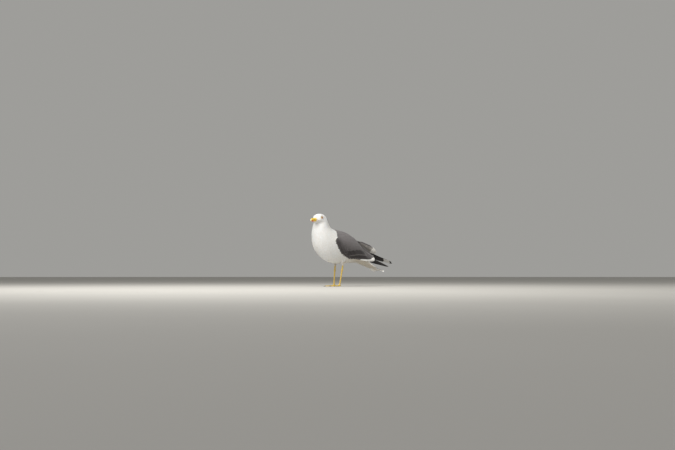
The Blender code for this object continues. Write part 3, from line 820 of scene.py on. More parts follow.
def coat_tree():
    """The tree that lays small feathers over one tract of the form."""
    tree = bpy.data.node_groups.new("lay_coat", "GeometryNodeTree")
    tree.interface.new_socket(name="Geometry", in_out="INPUT", socket_type="NodeSocketGeometry")
    tree.interface.new_socket(name="Geometry", in_out="OUTPUT", socket_type="NodeSocketGeometry")
    sockets = {
        "form": group_input(tree, "Form", "NodeSocketObject"),
        "vane": group_input(tree, "Vane", "NodeSocketObject"),
        "tract": group_input(tree, "Tract", "NodeSocketInt"),
        "spacing": group_input(tree, "Spacing", "NodeSocketFloat", 4 * MM),
        "breadth": group_input(tree, "Breadth", "NodeSocketFloat", 0.6),
        "lift": group_input(tree, "Lift", "NodeSocketFloat", 0.2 * MM),
        "slope": group_input(tree, "Slope", "NodeSocketFloat", 1.5),
        "ruffle": group_input(tree, "Ruffle", "NodeSocketFloat", 0.15),
        "seed": group_input(tree, "Seed", "NodeSocketInt", 1),
        "white": group_input(tree, "White", "NodeSocketMaterial"),
        "slate": group_input(tree, "Slate", "NodeSocketMaterial"),
    }
    given = add_node(tree, "NodeGroupInput").outputs
    form_mesh = add_node(tree, "GeometryNodeObjectInfo", inputs={"Object": given["Form"]}).outputs["Geometry"]
    vane_mesh = add_node(tree, "GeometryNodeObjectInfo", inputs={"Object": given["Vane"]}).outputs["Geometry"]

    chosen = add_node(tree, "FunctionNodeCompare", {"data_type": "INT", "operation": "EQUAL"}, {
        "A": read_attribute(tree, "tract", "INT"), "B": given["Tract"]}).outputs["Result"]
    scattered = add_node(tree, "GeometryNodeDistributePointsOnFaces",
                         {"distribute_method": "POISSON"},
                         {"Mesh": form_mesh, "Selection": chosen, "Distance Min": given["Spacing"],
                          "Density Max": 4e6, "Density Factor": 1.0, "Seed": given["Seed"]})
    roots = scattered.outputs["Points"]
    length = maths(tree, "MULTIPLY", read_attribute(tree, "feather"),
                   chance(tree, 0.85, 1.15, 3))
    width = maths(tree, "MULTIPLY", length,
                  maths(tree, "MULTIPLY", given["Breadth"], chance(tree, 0.85, 1.15, 5)))
    marked = maths(tree, "GREATER_THAN", read_attribute(tree, "slate"), 0.5)
    roots = store(tree, roots, "root_uv", "FLOAT_VECTOR", read_attribute(tree, "OFBake", "FLOAT_VECTOR"))
    # The tone is the place's painted light and shade, plus a small random part.
    roots = store(tree, roots, "tone", "FLOAT", maths(
        tree, "MULTIPLY_ADD", read_attribute(tree, "shade"), 0.75, chance(tree, 0.0, 0.25, 7)))
    roots = store(tree, roots, "width", "FLOAT", width)
    roots = store(tree, roots, "marked", "FLOAT", marked)

    along_lie = add_node(tree, "FunctionNodeAxesToRotation",
                         {"primary_axis": "Z", "secondary_axis": "X"},
                         {"Primary Axis": scattered.outputs["Normal"],
                          "Secondary Axis": read_attribute(tree, "lie", "FLOAT_VECTOR")})
    sway = add_node(tree, "FunctionNodeAxisAngleToRotation", inputs={
        "Axis": (0, 0, 1),
        "Angle": maths(tree, "MULTIPLY", given["Ruffle"], chance(tree, -1.0, 1.0, 11))})
    turned = add_node(tree, "FunctionNodeRotateRotation", {"rotation_space": "LOCAL"}, {
        "Rotation": along_lie.outputs["Rotation"], "Rotate By": sway.outputs["Rotation"]})
    scale = add_node(tree, "ShaderNodeCombineXYZ", inputs={"X": length, "Y": width, "Z": width})
    laid = add_node(tree, "GeometryNodeInstanceOnPoints", inputs={
        "Points": roots, "Instance": vane_mesh,
        "Rotation": turned.outputs["Rotation"], "Scale": scale.outputs["Vector"]})
    feathers = add_node(tree, "GeometryNodeRealizeInstances",
                        inputs={"Geometry": laid.outputs["Instances"]}).outputs["Geometry"]

    here = add_node(tree, "GeometryNodeInputPosition").outputs["Position"]
    normal = add_node(tree, "GeometryNodeInputNormal").outputs["Normal"]
    nearest = add_node(tree, "GeometryNodeProximity", {"target_element": "FACES"},
                       {"Geometry": form_mesh, "Sample Position": here}).outputs["Position"]
    outward = add_node(tree, "GeometryNodeSampleNearestSurface", {"data_type": "FLOAT_VECTOR"},
                       {"Mesh": form_mesh, "Value": normal, "Sample Position": here}).outputs["Value"]
    to_root = maths(tree, "SUBTRACT", 1.0, read_attribute(tree, "along"))
    sunk = maths(tree, "MULTIPLY", read_attribute(tree, "depth"),
                 maths(tree, "POWER", to_root, given["Slope"]))
    raised = maths(tree, "MULTIPLY", read_attribute(tree, "rise"), read_attribute(tree, "width"))
    lifted = maths(tree, "MULTIPLY", given["Lift"],
                   maths(tree, "POWER", read_attribute(tree, "along"), 3.0))
    height = maths(tree, "ADD", maths(tree, "SUBTRACT", raised, sunk), lifted)
    seat = vector_maths(tree, "ADD", nearest, vector_maths(tree, "SCALE", outward, scale=height))
    seated = add_node(tree, "GeometryNodeSetPosition", inputs={"Geometry": feathers, "Position": seat})

    corner = add_node(tree, "ShaderNodeCombineXYZ", inputs={
        "X": maths(tree, "MULTIPLY", maths(tree, "SUBTRACT", read_attribute(tree, "along"), 0.5), PATCH),
        "Y": maths(tree, "MULTIPLY", read_attribute(tree, "across"), PATCH / 2)})
    patch = vector_maths(tree, "ADD", read_attribute(tree, "root_uv", "FLOAT_VECTOR"), corner.outputs["Vector"])
    mapped = store(tree, seated.outputs["Geometry"], "OFBake", "FLOAT2", patch, "CORNER")
    whitened = add_node(tree, "GeometryNodeSetMaterial", inputs={
        "Geometry": mapped, "Material": given["White"]}).outputs["Geometry"]
    painted = add_node(tree, "GeometryNodeSetMaterial", inputs={
        "Geometry": whitened, "Material": given["Slate"],
        "Selection": maths(tree, "GREATER_THAN", read_attribute(tree, "marked"), 0.5)})
    add_node(tree, "NodeGroupOutput", inputs={"Geometry": painted.outputs["Geometry"]})
    return tree, sockets


COAT, COAT_INPUTS = coat_tree()


def grown_from(name, tree, sockets, values):
    """Runs a geometry tree once and keeps its result as a plain mesh piece."""
    seed_mesh = bpy.data.meshes.new(name)
    made = bpy.data.objects.new(name, seed_mesh)
    bpy.context.scene.collection.objects.link(made)
    modifier = made.modifiers.new("grow", "NODES")
    modifier.node_group = tree
    for key, value in values.items():
        modifier[sockets[key]] = value
    evaluated(made)
    keep = {"OFBake", "tone", "along", "across", "position", "sharp_edge", "material_index"}
    for attribute in list(made.data.attributes):
        if attribute.name not in keep and not attribute.name.startswith("."):
            made.data.attributes.remove(attribute)
    return made


# %% The coats
# Tract, piece, vane, spacing in mm, breadth as a share of the length, lift in mm.
COATS = [
    ("face", "face_feathers", soft_vane, 1.2, 0.52, 0.02),
    ("crown", "crown_feathers", soft_vane, 1.6, 0.50, 0.04),
    ("neck", "neck_feathers", soft_vane, 2.0, 0.50, 0.05),
    ("breast", "breast_feathers", soft_vane, 2.6, 0.48, 0.08),
    ("belly", "belly_feathers", soft_vane, 3.0, 0.48, 0.10),
    ("mantle", "mantle_feathers", covert_vane, 3.8, 0.58, 0.10),
    ("left_wing", "left_wing_coverts", covert_vane, 3.6, 0.58, 0.08),
    ("right_wing", "right_wing_coverts", covert_vane, 3.6, 0.58, 0.08),
    ("thigh", "thigh_feathers", soft_vane, 1.9, 0.50, 0.05),
]
pieces = {}
for number, (where, name, shape, spacing, breadth, lift) in enumerate(COATS):
    pieces[name] = grown_from(name, COAT, COAT_INPUTS, {
        "form": form, "vane": shape, "tract": TRACTS.index(where),
        "spacing": spacing * MM, "breadth": breadth, "lift": lift * MM, "slope": 1.3,
        "ruffle": 0.16, "seed": number + 1, "white": WHITE, "slate": SLATE})
    print(name, len(pieces[name].data.polygons) // 20, "feathers")

# %% [markdown]
# The long feathers of wings and tail are quills: a stiff shaft between two vanes, with
# a rounded tip. Folded, they lie like the sticks of a closed fan, each on the one
# outside it. A quill is drawn once, flat and closed. A second tree sets one on every
# root of a row and lets it down on to a mould, a sheet taken off the solids by rays.

# %% One quill
def quill(name, half_width, stations=16, thick=0.03, dome=0.06):
    """A closed blade one long and one wide, with a ridge for the shaft."""
    spots, under = [], []
    rows = [0.5 - 0.5 * math.cos(math.pi * k / stations) for k in range(stations + 1)]
    rows[0], rows[-1] = 0.002, 0.998
    for along in rows:
        half = half_width(along)
        for share in (-1, -0.5, 0, 0.5, 1):
            shaft = 0.012 * (1 - along) if share == 0 else 0
            spots.append((along, half * share, dome * (0.5 - abs(share) * half) + shaft))
            under.append(False)
        for share in (0.5, 0, -0.5):
            shaft = 0.03 * (1 - along) if share == 0 else 0
            spots.append((along, half * share, dome * (0.5 - abs(share) * half) - thick - shaft))
            under.append(True)
    faces, low = [], []
    for row in range(stations):
        for k in range(8):
            a, b = row * 8 + k, row * 8 + (k + 1) % 8
            faces.append((a, b, b + 8, a + 8))
            low.append(k >= 4)
    faces += [tuple(range(7, -1, -1)), tuple(stations * 8 + k for k in range(8))]
    low += [True, True]
    made = mesh_piece(name, spots, faces)
    work = bmesh.new()
    work.from_mesh(made.data)
    bmesh.ops.recalc_face_normals(work, faces=work.faces)
    work.to_mesh(made.data)
    work.free()
    spots = np.array(spots)
    keep_on(made, "along", "FLOAT", spots[:, 0])
    across = spots[:, 1] / np.array([max(half_width(a), 1e-3) for a in spots[:, 0]])
    keep_on(made, "across", "FLOAT", across)
    keep_on(made, "rise", "FLOAT", spots[:, 2])
    keep_on(made, "under", "FLOAT", np.array(low, float), "FACE")
    rims = [abs(across[e.vertices[0]]) > 0.9 and abs(across[e.vertices[1]]) > 0.9
            for e in made.data.edges]
    keep_on(made, "sharp_edge", "BOOLEAN", np.array(rims), "EDGE")
    return made


def broad(along):
    """Half width of a tertial, covert or tail quill."""
    return min(0.28 + 0.9 * along, 0.5) * math.sqrt(max(0.0, 1 - max(0, (along - 0.78) / 0.22) ** 2.2)) + 0.004


def pointed(along):
    """Half width of a primary: it narrows over its whole outer half."""
    slim = 0.5 - 0.26 * smooth_step(along, 0.35, 1.0)
    return float(min(0.3 + 0.9 * along, slim) * math.sqrt(max(0.0, 1 - max(0, (along - 0.86) / 0.14) ** 2)) + 0.004)


broad_quill = quill("broad_quill", broad)
pointed_quill = quill("pointed_quill", pointed)


# %% Moulds
def mould(name, members, lower, upper, look, step=3.0):
    """A sheet over CAD nodes as seen against look, carried on past their edges."""
    trees = []
    for member in members:
        work = bmesh.new()
        work.from_mesh(nodes[member].data)
        trees.append(BVHTree.FromBMesh(work))
        work.free()
    axis = int(np.argmax(np.abs(look)))
    flat_axes = [k for k in range(3) if k != axis]
    a_values = np.arange(lower[0], upper[0] + step, step)
    b_values = np.arange(lower[1], upper[1] + step, step)
    heights = np.full((len(a_values), len(b_values)), np.nan)
    sign = -float(np.sign(look[axis]))
    for i, a in enumerate(a_values):
        for j, b in enumerate(b_values):
            spot = [0.0, 0.0, 0.0]
            spot[flat_axes[0]], spot[flat_axes[1]], spot[axis] = a, b, 400 * sign
            start = at(*spot)
            hits = [t.ray_cast(start, Vector(look))[0] for t in trees]
            hits = [sign * (h - FEET)[axis] / MM for h in hits if h is not None]
            if hits:
                heights[i, j] = max(hits)
    known = ~np.isnan(heights)
    heights[~known] = 0
    filled = known.astype(float)
    for _ in range(40):
        padded, weight = np.pad(heights * (filled > 0), 1), np.pad((filled > 0) * 1.0, 1)
        total, share = np.zeros_like(heights), np.zeros_like(heights)
        for da, db in ((0, 1), (2, 1), (1, 0), (1, 2)):
            window = (slice(da, da + heights.shape[0]), slice(db, db + heights.shape[1]))
            total += padded[window]
            share += weight[window]
        new = (filled == 0) & (share > 0)
        heights[new] = total[new] / share[new]
        filled[new] = 1
    for _ in range(3):
        ring = np.pad(heights, 1, mode="edge")
        heights = (ring[:-2, 1:-1] + ring[2:, 1:-1] + ring[1:-1, :-2] + ring[1:-1, 2:]
                   + 2 * heights) / 6
    spots, faces = [], []
    for i, a in enumerate(a_values):
        for j, b in enumerate(b_values):
            spot = [0.0, 0.0, 0.0]
            spot[flat_axes[0]], spot[flat_axes[1]], spot[axis] = a, b, heights[i, j] * sign
            spots.append(at(*spot))
    wide = len(b_values)
    for i in range(len(a_values) - 1):
        for j in range(wide - 1):
            faces.append((i * wide + j, (i + 1) * wide + j, (i + 1) * wide + j + 1, i * wide + j + 1))
    return mesh_piece(name, spots, faces)


moulds = {}
for name, turn in (("left", -1), ("right", 1)):
    look = (0, -turn, 0)
    moulds[name + "_wing"] = mould(name + "_wing_mould", [name + "_wing"], (-60, 130), (290, 270), look)
    moulds[name + "_primaries"] = mould(name + "_tip_mould", [name + "_primaries"], (126, 90), (380, 190), look)
moulds["tail"] = mould("tail_mould", ["tail"], (170, -50), (290, 50), (0, 0, -1))
print("moulds:", list(moulds))

# %% The tree that lays quills
def quill_tree():
    """The tree that sets one quill on each root and seats it on a mould."""
    tree = bpy.data.node_groups.new("lay_quills", "GeometryNodeTree")
    tree.interface.new_socket(name="Geometry", in_out="INPUT", socket_type="NodeSocketGeometry")
    tree.interface.new_socket(name="Geometry", in_out="OUTPUT", socket_type="NodeSocketGeometry")
    sockets = {
        "quill": group_input(tree, "Quill", "NodeSocketObject"),
        "mould": group_input(tree, "Mould", "NodeSocketObject"),
        "look": group_input(tree, "Look", "NodeSocketVector"),
        "count": group_input(tree, "Count", "NodeSocketInt", 1),
        "sink": group_input(tree, "Sink", "NodeSocketFloat", 0.0),
        "tilt": group_input(tree, "Tilt", "NodeSocketFloat", 0.0),
        "material": group_input(tree, "Material", "NodeSocketMaterial"),
    }
    given = add_node(tree, "NodeGroupInput").outputs
    blade = add_node(tree, "GeometryNodeObjectInfo", inputs={"Object": given["Quill"]}).outputs["Geometry"]
    sheet = add_node(tree, "GeometryNodeObjectInfo", inputs={"Object": given["Mould"]}).outputs["Geometry"]
    outward = vector_maths(tree, "SCALE", given["Look"], scale=-1.0)
    roots = add_node(tree, "GeometryNodeMeshToPoints", inputs={"Mesh": given["Geometry"]}).outputs["Points"]
    length, width = read_attribute(tree, "length"), read_attribute(tree, "width")
    turn = add_node(tree, "FunctionNodeAxesToRotation", {"primary_axis": "Z", "secondary_axis": "X"}, {
        "Primary Axis": outward, "Secondary Axis": read_attribute(tree, "heading", "FLOAT_VECTOR")})
    scale = add_node(tree, "ShaderNodeCombineXYZ", inputs={"X": length, "Y": width, "Z": width})
    laid = add_node(tree, "GeometryNodeInstanceOnPoints", inputs={
        "Points": roots, "Instance": blade, "Rotation": turn.outputs["Rotation"],
        "Scale": scale.outputs["Vector"]})
    blades = add_node(tree, "GeometryNodeRealizeInstances",
                      inputs={"Geometry": laid.outputs["Instances"]}).outputs["Geometry"]
    here = add_node(tree, "GeometryNodeInputPosition").outputs["Position"]
    above = vector_maths(tree, "ADD", here, vector_maths(tree, "SCALE", outward, scale=0.5))
    ray = add_node(tree, "GeometryNodeRaycast", inputs={
        "Target Geometry": sheet, "Source Position": above,
        "Ray Direction": given["Look"], "Ray Length": 1.5})
    to_root = maths(tree, "POWER", maths(tree, "SUBTRACT", 1.0, read_attribute(tree, "along")), 1.8)
    raised = maths(tree, "MULTIPLY_ADD", read_attribute(tree, "rise"), read_attribute(tree, "width"),
                   read_attribute(tree, "layer"))
    raised = maths(tree, "MULTIPLY_ADD", read_attribute(tree, "across"), given["Tilt"], raised)
    height = maths(tree, "SUBTRACT", raised, maths(tree, "MULTIPLY", to_root, given["Sink"]))
    seat = vector_maths(tree, "ADD", ray.outputs["Hit Position"],
                        vector_maths(tree, "SCALE", outward, scale=height))
    seated = add_node(tree, "GeometryNodeSetPosition", inputs={
        "Geometry": blades, "Selection": ray.outputs["Is Hit"], "Position": seat})
    half = maths(tree, "MULTIPLY", read_attribute(tree, "under"), 0.5)
    u = maths(tree, "ADD", maths(tree, "MULTIPLY_ADD", read_attribute(tree, "along"), 0.46, 0.02), half)
    row = maths(tree, "ADD", read_attribute(tree, "row"),
                maths(tree, "MULTIPLY_ADD", read_attribute(tree, "across"), 0.42, 0.5))
    spot = add_node(tree, "ShaderNodeCombineXYZ", inputs={"X": u, "Y": maths(tree, "DIVIDE", row, given["Count"])})
    mapped = store(tree, seated.outputs["Geometry"], "OFBake", "FLOAT2", spot.outputs["Vector"], "CORNER")
    painted = add_node(tree, "GeometryNodeSetMaterial", inputs={"Geometry": mapped, "Material": given["Material"]})
    add_node(tree, "NodeGroupOutput", inputs={"Geometry": painted.outputs["Geometry"]})
    return tree, sockets


QUILLS, QUILL_INPUTS = quill_tree()


def fold(x, z, turn):
    """The left wing (turn -1) hangs low and forward, the right one high and back."""
    tip = 1 - 0.45 * float(smooth_step(x, 220, 320))
    lift = turn * 15 * float(smooth_step(x, 80, 200)) * tip
    return x + turn * 20 * float(smooth_step(x, 40, 320)), z + lift


def lay_row(name, quills, blade, sheet, look, material, sink=0.0, hem=None, tilt=0.0):
    """Lays one row. Each quill: root, tip, width, layer, white tip, mirror, tone."""
    made = mesh_piece(name, [q["root"] for q in quills], [])
    heading = [(q["tip"] - q["root"]).normalized() for q in quills]
    keep_on(made, "heading", "FLOAT_VECTOR", np.array(heading), field="vector")
    for key, values in {
        "length": [(q["tip"] - q["root"]).length for q in quills],
        "width": [q["width"] * MM for q in quills],
        "layer": [q["layer"] * MM for q in quills],
        "white_tip": [q.get("white", 0) for q in quills],
        "mirror": [q.get("mirror", 0) for q in quills],
        "tone": [q["tone"] for q in quills],
        "row": list(range(len(quills))),
    }.items():
        keep_on(made, key, "FLOAT", np.array(values, float))
    modifier = made.modifiers.new("grow", "NODES")
    modifier.node_group = QUILLS
    values = {"quill": blade, "mould": sheet, "look": look, "count": len(quills),
              "material": material, "sink": sink * MM, "tilt": tilt * MM}
    for key, value in values.items():
        modifier[QUILL_INPUTS[key]] = value
    evaluated(made)
    made.data.materials.clear()
    made.data.materials.append(material)
    if hem is not None:
        spots, _ = arrays(made)
        spots = (spots - np.array(FEET)) / MM
        keep_on(made, "below_line", "FLOAT", hem(spots[:, 0], spots[:, 2]))
    keep = {"OFBake", "tone", "along", "across", "white_tip", "mirror", "position", "sharp_edge", "under",
            "below_line"}
    for attribute in list(made.data.attributes):
        if attribute.name not in keep and not attribute.name.startswith("."):
            made.data.attributes.remove(attribute)
    return made


# %% [markdown]
# Folded over the tail lie five broad tertials with wide white tips, the white-tipped
# secondaries under them, and then the long black primaries. Two rows of coverts lie
# over the bases of these. On the outermost primary there is a white spot, the mirror,
# painted pale grey as white in shade.

# %% Rows of the wings
def spread(roots, tips, count, turn, widths, layers, tones=(0.2, 0.4), white=0.0):
    """Quills spread evenly along a line of roots and a line of tips, both in (x, z)."""
    made = []
    for k in range(count):
        t = k / max(1, count - 1)
        spots = []
        for line in (roots, tips):
            places = np.linspace(0, 1, len(line))
            spots.append(fold(*(float(np.interp(t, places, [p[i] for p in line])) for i in (0, 1)), turn))
        wander = 0.12 * (((k * 0.618) % 1) - 0.5)
        made.append({"root": at(spots[0][0], 0, spots[0][1]), "tip": at(spots[1][0], 0, spots[1][1]),
                     "width": widths[0] + (widths[1] - widths[0]) * t,
                     "layer": layers[0] + (layers[1] - layers[0]) * t, "white": white,
                     "tone": tones[0] + (tones[1] - tones[0]) * t + wander})
    return made


HEM_LINE = [(112, 139), (124, 147), (155, 152.5), (190, 156), (212, 159), (226, 167), (250, 176)]


def hem_of(turn):
    """How far places lie below the line where a wing's white rear edge begins, in mm."""
    def below(x, z):
        plain_x = x
        for _ in range(4):
            plain_x = x - turn * 20 * smooth_step(plain_x, 40, 320)
        tip = 1 - 0.45 * smooth_step(plain_x, 220, 320)
        plain_z = z - turn * 15 * smooth_step(plain_x, 80, 200) * tip
        return between(plain_x, *np.array(HEM_LINE).T) - plain_z
    return below


SINK = {"tertials": 7.0, "secondaries": 4.5, "large_coverts": 4.5, "primary_quills": 2.5}
RIDGE = np.array([(85, 257), (120, 242), (155, 221), (190, 199), (220, 184), (250, 169)])
RIDGE_VANES = [(108, 188, 12, 1.8), (126, 214, 13, 2.7), (146, 240, 14, 3.6)]  # from, to, reach, lift


def ridge_tertials(name, turn, outer_sheet, inner_sheet):
    """The innermost tertials, folded over a wing's upper edge, each over the one behind."""
    graph = bpy.context.evaluated_depsgraph_get()
    trees = [BVHTree.FromObject(sheet, graph) for sheet in (outer_sheet, inner_sheet)]
    looks = [Vector((0, -turn, 0)), Vector((0, turn, 0))]
    spots, faces, places = [], [], []
    rows, columns = 17, 9
    for number, (first, last, reach, lift) in enumerate(RIDGE_VANES):
        base = len(spots)
        for along in np.linspace(0.004, 0.996, rows):
            plain = first + (last - first) * along
            x, top = fold(plain, float(between(plain, *RIDGE.T)), turn)
            high = lift - 4.5 * (1 - along) ** 2
            for across in np.linspace(-1, 1, columns):
                z = top - 2 * reach * broad(along) * smooth_step(along, -0.06, 0.3) * abs(across)
                hits = [t.ray_cast(at(x, -look.y * 400, z), look)[0] for t, look in zip(trees, looks)]
                inner = smooth_step(across, -0.2, 0.2)
                spot = hits[0].lerp(hits[1], float(inner))
                spot -= looks[0] * high * MM * float(1 - 2 * inner)
                spot.z += high * MM * (1 - abs(across))
                spots.append(spot)
                places.append((along, across, number))
        for i in range(rows - 1):
            for j in range(columns - 1):
                k = base + i * columns + j
                faces.append((k, k + columns, k + columns + 1, k + 1))
    made = mesh_piece(name, spots, faces, QUILL_SLATE)
    # The inner faces take the slate painted paler, as if lit.
    made.data.materials.append(QUILL_SLATE_PAINTED_LIGHTER)
    facing_in = [k % (columns - 1) > columns // 2 for k in range(len(faces))]
    made.data.polygons.foreach_set("material_index", np.array(facing_in, np.int32))
    places = np.array(places, float)
    keep_on(made, "along", "FLOAT", places[:, 0])
    keep_on(made, "across", "FLOAT", places[:, 1])
    # Tone: each next vane a little paler; the inner half paler still, as painted light.
    keep_on(made, "tone", "FLOAT", 0.5 - 0.1 * places[:, 2] - 0.4 * smooth_step(places[:, 1], -0.2, 0.5))
    keep_on(made, "white_tip", "FLOAT", np.where(places[:, 2] > 1, 0.06 + 0.24 * (places[:, 1] > 0) * (turn > 0), 0))
    unwrap = made.data.uv_layers.new(name="OFBake")
    corners = np.array([c.vertex_index for c in made.data.loops])
    spread_out = np.stack([places[:, 0], (places[:, 2] + 0.5 + 0.45 * places[:, 1]) / len(RIDGE_VANES)], 1)
    unwrap.data.foreach_set("uv", spread_out[corners].ravel())
    thick = made.modifiers.new("thick", "SOLIDIFY")
    thick.thickness = 0.4 * MM
    thick.offset = -1.0 if turn > 0 else 1.0
    evaluated(made)
    return made


PRIMARY_ROOTS = {"left": [(150, 156), (188, 160)], "right": [(188, 150), (194, 160)]}
PRIMARY_TIPS = {"left": [(354, 113), (290, 138)],
                "right": [(349, 113.5), (345, 120), (325, 127), (302, 134), (286, 138)]}
INNER_TIPS = {"left": [(231, 168), (237, 164), (236, 160), (230, 156)],
              "right": [(243, 171), (249, 166), (246, 161), (235, 157)]}
TERTIAL_TIPS = {"left": [(241, 153), (242, 158), (240, 163), (236, 167), (229, 171)],
                "right": [(216, 156), (227, 162), (232, 169), (229, 176), (221, 183)]}
for name, turn in (("left", -1), ("right", 1)):
    look = (0, -turn, 0)
    wing_sheet, tip_sheet = moulds[name + "_wing"], moulds[name + "_primaries"]
    inner_sheet = mould(name + "_inner_mould", [name + "_wing"], (90, 130), (290, 270), (0, turn, 0))
    # The inner tertials take the slate painted paler, as if lit.
    inner = spread([(138, 212), (122, 178)], INNER_TIPS[name], 5, turn, (26, 24), (1.6, 0.4), (0.0, 0.1), 0.26)
    pieces[name + "_inner_tertials"] = lay_row(
        name + "_inner_tertials", inner, broad_quill, inner_sheet, (0, turn, 0), QUILL_SLATE_PAINTED_LIGHTER, sink=2.0)
    pieces[name + "_ridge_tertials"] = ridge_tertials(name + "_ridge_tertials", turn, wing_sheet, inner_sheet)
    bpy.data.objects.remove(inner_sheet)
    # The tones paint the rows low on the wing near black and the tertials lighter, as painted shade, each quill with a
    # small random wander.
    rows_of = {
        "tertials": spread([(92, 178), (132, 224)], TERTIAL_TIPS[name], 5, turn, (26, 26),
                           (0.6, 1.8), (0.7, 0.4), 0.04),
        "secondaries": spread([(20, 170), (130, 168)], [(88, 147), (230, 151)], 11, turn, (19, 22),
                              (0.2, 0.7), (0.95, 0.8)),
        "large_coverts": spread([(4, 190), (124, 206)], [(44, 159), (178, 178)], 13, turn, (20, 22),
                                (0.6, 0.8), (0.95, 0.8)),
        "primary_quills": spread(PRIMARY_ROOTS[name], PRIMARY_TIPS[name], 5, turn, (16, 15), (-1.9, 0.1)),
    }
    for quill_made in rows_of["primary_quills"][:2]:
        quill_made["mirror"] = 1 if name == "right" else 0
    for row, quills in rows_of.items():
        black = row == "primary_quills"
        pieces[f"{name}_{row}"] = lay_row(
            f"{name}_{row}", quills, pointed_quill if black else broad_quill,
            tip_sheet if black else wing_sheet, look, QUILL_BLACK if black else QUILL_SLATE,
            sink=SINK[row], tilt=0.0 if row in ("tertials", "primary_quills") else 0.55 * turn,
            hem=None if black else hem_of(turn))
        print(name, row, len(quills))

# %% [markdown]
# The tail is twelve white quills. Shut, as here, the middle pair lies on top and each
# next pair under it, a little further out.

# %% The tail
tail_quills = []
for side_sign in (-1, 1):
    for pair in range(6):
        root_y = side_sign * (2 + 2.4 * pair)
        tip_y = side_sign * (5.5 + 5.9 * pair)
        laid = {"root": at(182, root_y, 0), "tip": at(280 - 0.5 * pair, tip_y, 0), "width": 19,
                "layer": -0.5 - 0.42 * pair - (0.2 if side_sign > 0 else 0), "tone": (pair * 0.618) % 1}
        if pair < 5:
            tail_quills.append(laid)
            continue
        # The outer vane of the last quill on each side droops.
        outermost = "left_outer_tail_quill" if side_sign < 0 else "right_outer_tail_quill"
        # Mirror 1 here keeps the outermost quill white all over, free of the painted underside shade.
        laid.update({"layer": -4.6, "mirror": 1, "tip": at(282, tip_y, 0)})
        pieces[outermost] = lay_row(outermost, [laid], broad_quill, moulds["tail"], (0, 0, -1), QUILL_WHITE,
                                    sink=2.0, tilt=-2.2 * side_sign)
pieces["tail_quills"] = lay_row("tail_quills", tail_quills, broad_quill, moulds["tail"], (0, 0, -1), QUILL_WHITE,
                                sink=4.0)
print("tail:", len(tail_quills), "quills")

# %% [markdown]
# The bill is a bony core in a sheath of horn, smooth and a little glossy, yellow with a
# red spot at the angle below and a paler tip. The solids give its outline. A fine wrap
# rounds their facets, the base is drawn back under the face feathers, and the slit of
# the nostril is pressed in on both sides.

# %% The bill
BILL_VOXEL = 0.45 * MM


def head_places(points):
    """Places in mm ahead, to the right and up, from midway between the eyes."""
    offset = points - np.array(EYES)
    return np.stack([offset @ np.array(axis) for axis in (AHEAD, RIGHT, UP)], 1) / MM


def from_head(places):
    """The points in metres of places on the head."""
    return np.array(EYES) + (places[:, :1] * np.array(AHEAD) + places[:, 1:2] * np.array(RIGHT)
                             + places[:, 2:] * np.array(UP)) * MM


def refined(name, members, voxel, rounds, cut_at=None):
    """A fine, smooth wrap of some solids."""
    made = gathered(name, members, 0.0, cut_at)
    wrapped(made, voxel)
    spots, _ = arrays(made)
    set_points(made, relaxed(spots, edge_ends(made), rounds))
    made.data.shade_smooth()
    return made


def pressed(value, middle, half, power=4):
    """A soft-edged window around a middle."""
    return np.exp(-np.abs((value - middle) / half) ** power)


NOSTRIL_AHEAD, NOSTRIL_UP = 37.5, -6.6
BASE_AHEAD = 21.5
bill = {}
for name in ("upper_bill", "lower_bill"):
    horn = refined(name + "_horn", [name], BILL_VOXEL, 14)
    spots, _ = arrays(horn)
    places = head_places(spots)
    ahead, right, up = places.T
    if name == "upper_bill":
        slit = pressed(ahead, NOSTRIL_AHEAD, 3.6) * pressed(up, NOSTRIL_UP - 0.05 * (ahead - NOSTRIL_AHEAD), 0.75)
        right = right - np.sign(right) * np.minimum(1.4 * slit, 0.7 * np.abs(right))
        groove = pressed(ahead, 30, 9) * pressed(up, -5.4, 1.6)
        right = right * (1 - 0.05 * groove)
    back = np.clip(BASE_AHEAD - ahead, 0, 3)
    ahead = ahead - 1.3 * back
    centre_up = -7.0 if name == "upper_bill" else -15.0
    shrink = 1 - 0.05 * back
    places = np.stack([ahead, right * shrink, centre_up + (up - centre_up) * shrink], 1)
    set_points(horn, from_head(places))
    keep_on(horn, "ahead", "FLOAT", places[:, 0])
    keep_on(horn, "up", "FLOAT", places[:, 2])
    bill[name] = horn
    print(name, len(horn.data.polygons), "faces")

# Horn grown in thin layers: a soft gloss, fine lines along it, worn pale at the tip.
horn_paint, tree, shader = new_material("bill_horn_grown_layers")
ahead = add_node(tree, "ShaderNodeAttribute", {"attribute_name": "ahead"}).outputs["Fac"]
up = add_node(tree, "ShaderNodeAttribute", {"attribute_name": "up"}).outputs["Fac"]
place = add_node(tree, "ShaderNodeTexCoord")
mottle = add_node(tree, "ShaderNodeTexNoise", inputs={
    "Vector": place.outputs["Object"], "Scale": 260.0, "Detail": 4.0})
warm = add_node(tree, "ShaderNodeMix", {"data_type": "RGBA"}, {
    "Factor": mottle.outputs["Fac"], "A": linear("F2D03A"), "B": linear("E4BA2C")})
to_tip = add_node(tree, "ShaderNodeMapRange", {"interpolation_type": "SMOOTHSTEP"}, {
    "Value": ahead, "From Min": 54.0, "From Max": 62.0})
tipped = add_node(tree, "ShaderNodeMix", {"data_type": "RGBA"}, {
    "Factor": to_tip.outputs["Result"], "A": warm.outputs["Result"], "B": linear("EFE2B4")})
spot_place = add_node(tree, "ShaderNodeCombineXYZ", inputs={
    "X": maths(tree, "DIVIDE", maths(tree, "SUBTRACT", ahead, 48.0), 7.0),
    "Y": maths(tree, "DIVIDE", maths(tree, "SUBTRACT", up, -19.8), 6.2)})
from_spot = add_node(tree, "ShaderNodeVectorMath", {"operation": "LENGTH"}, {0: spot_place.outputs[0]})
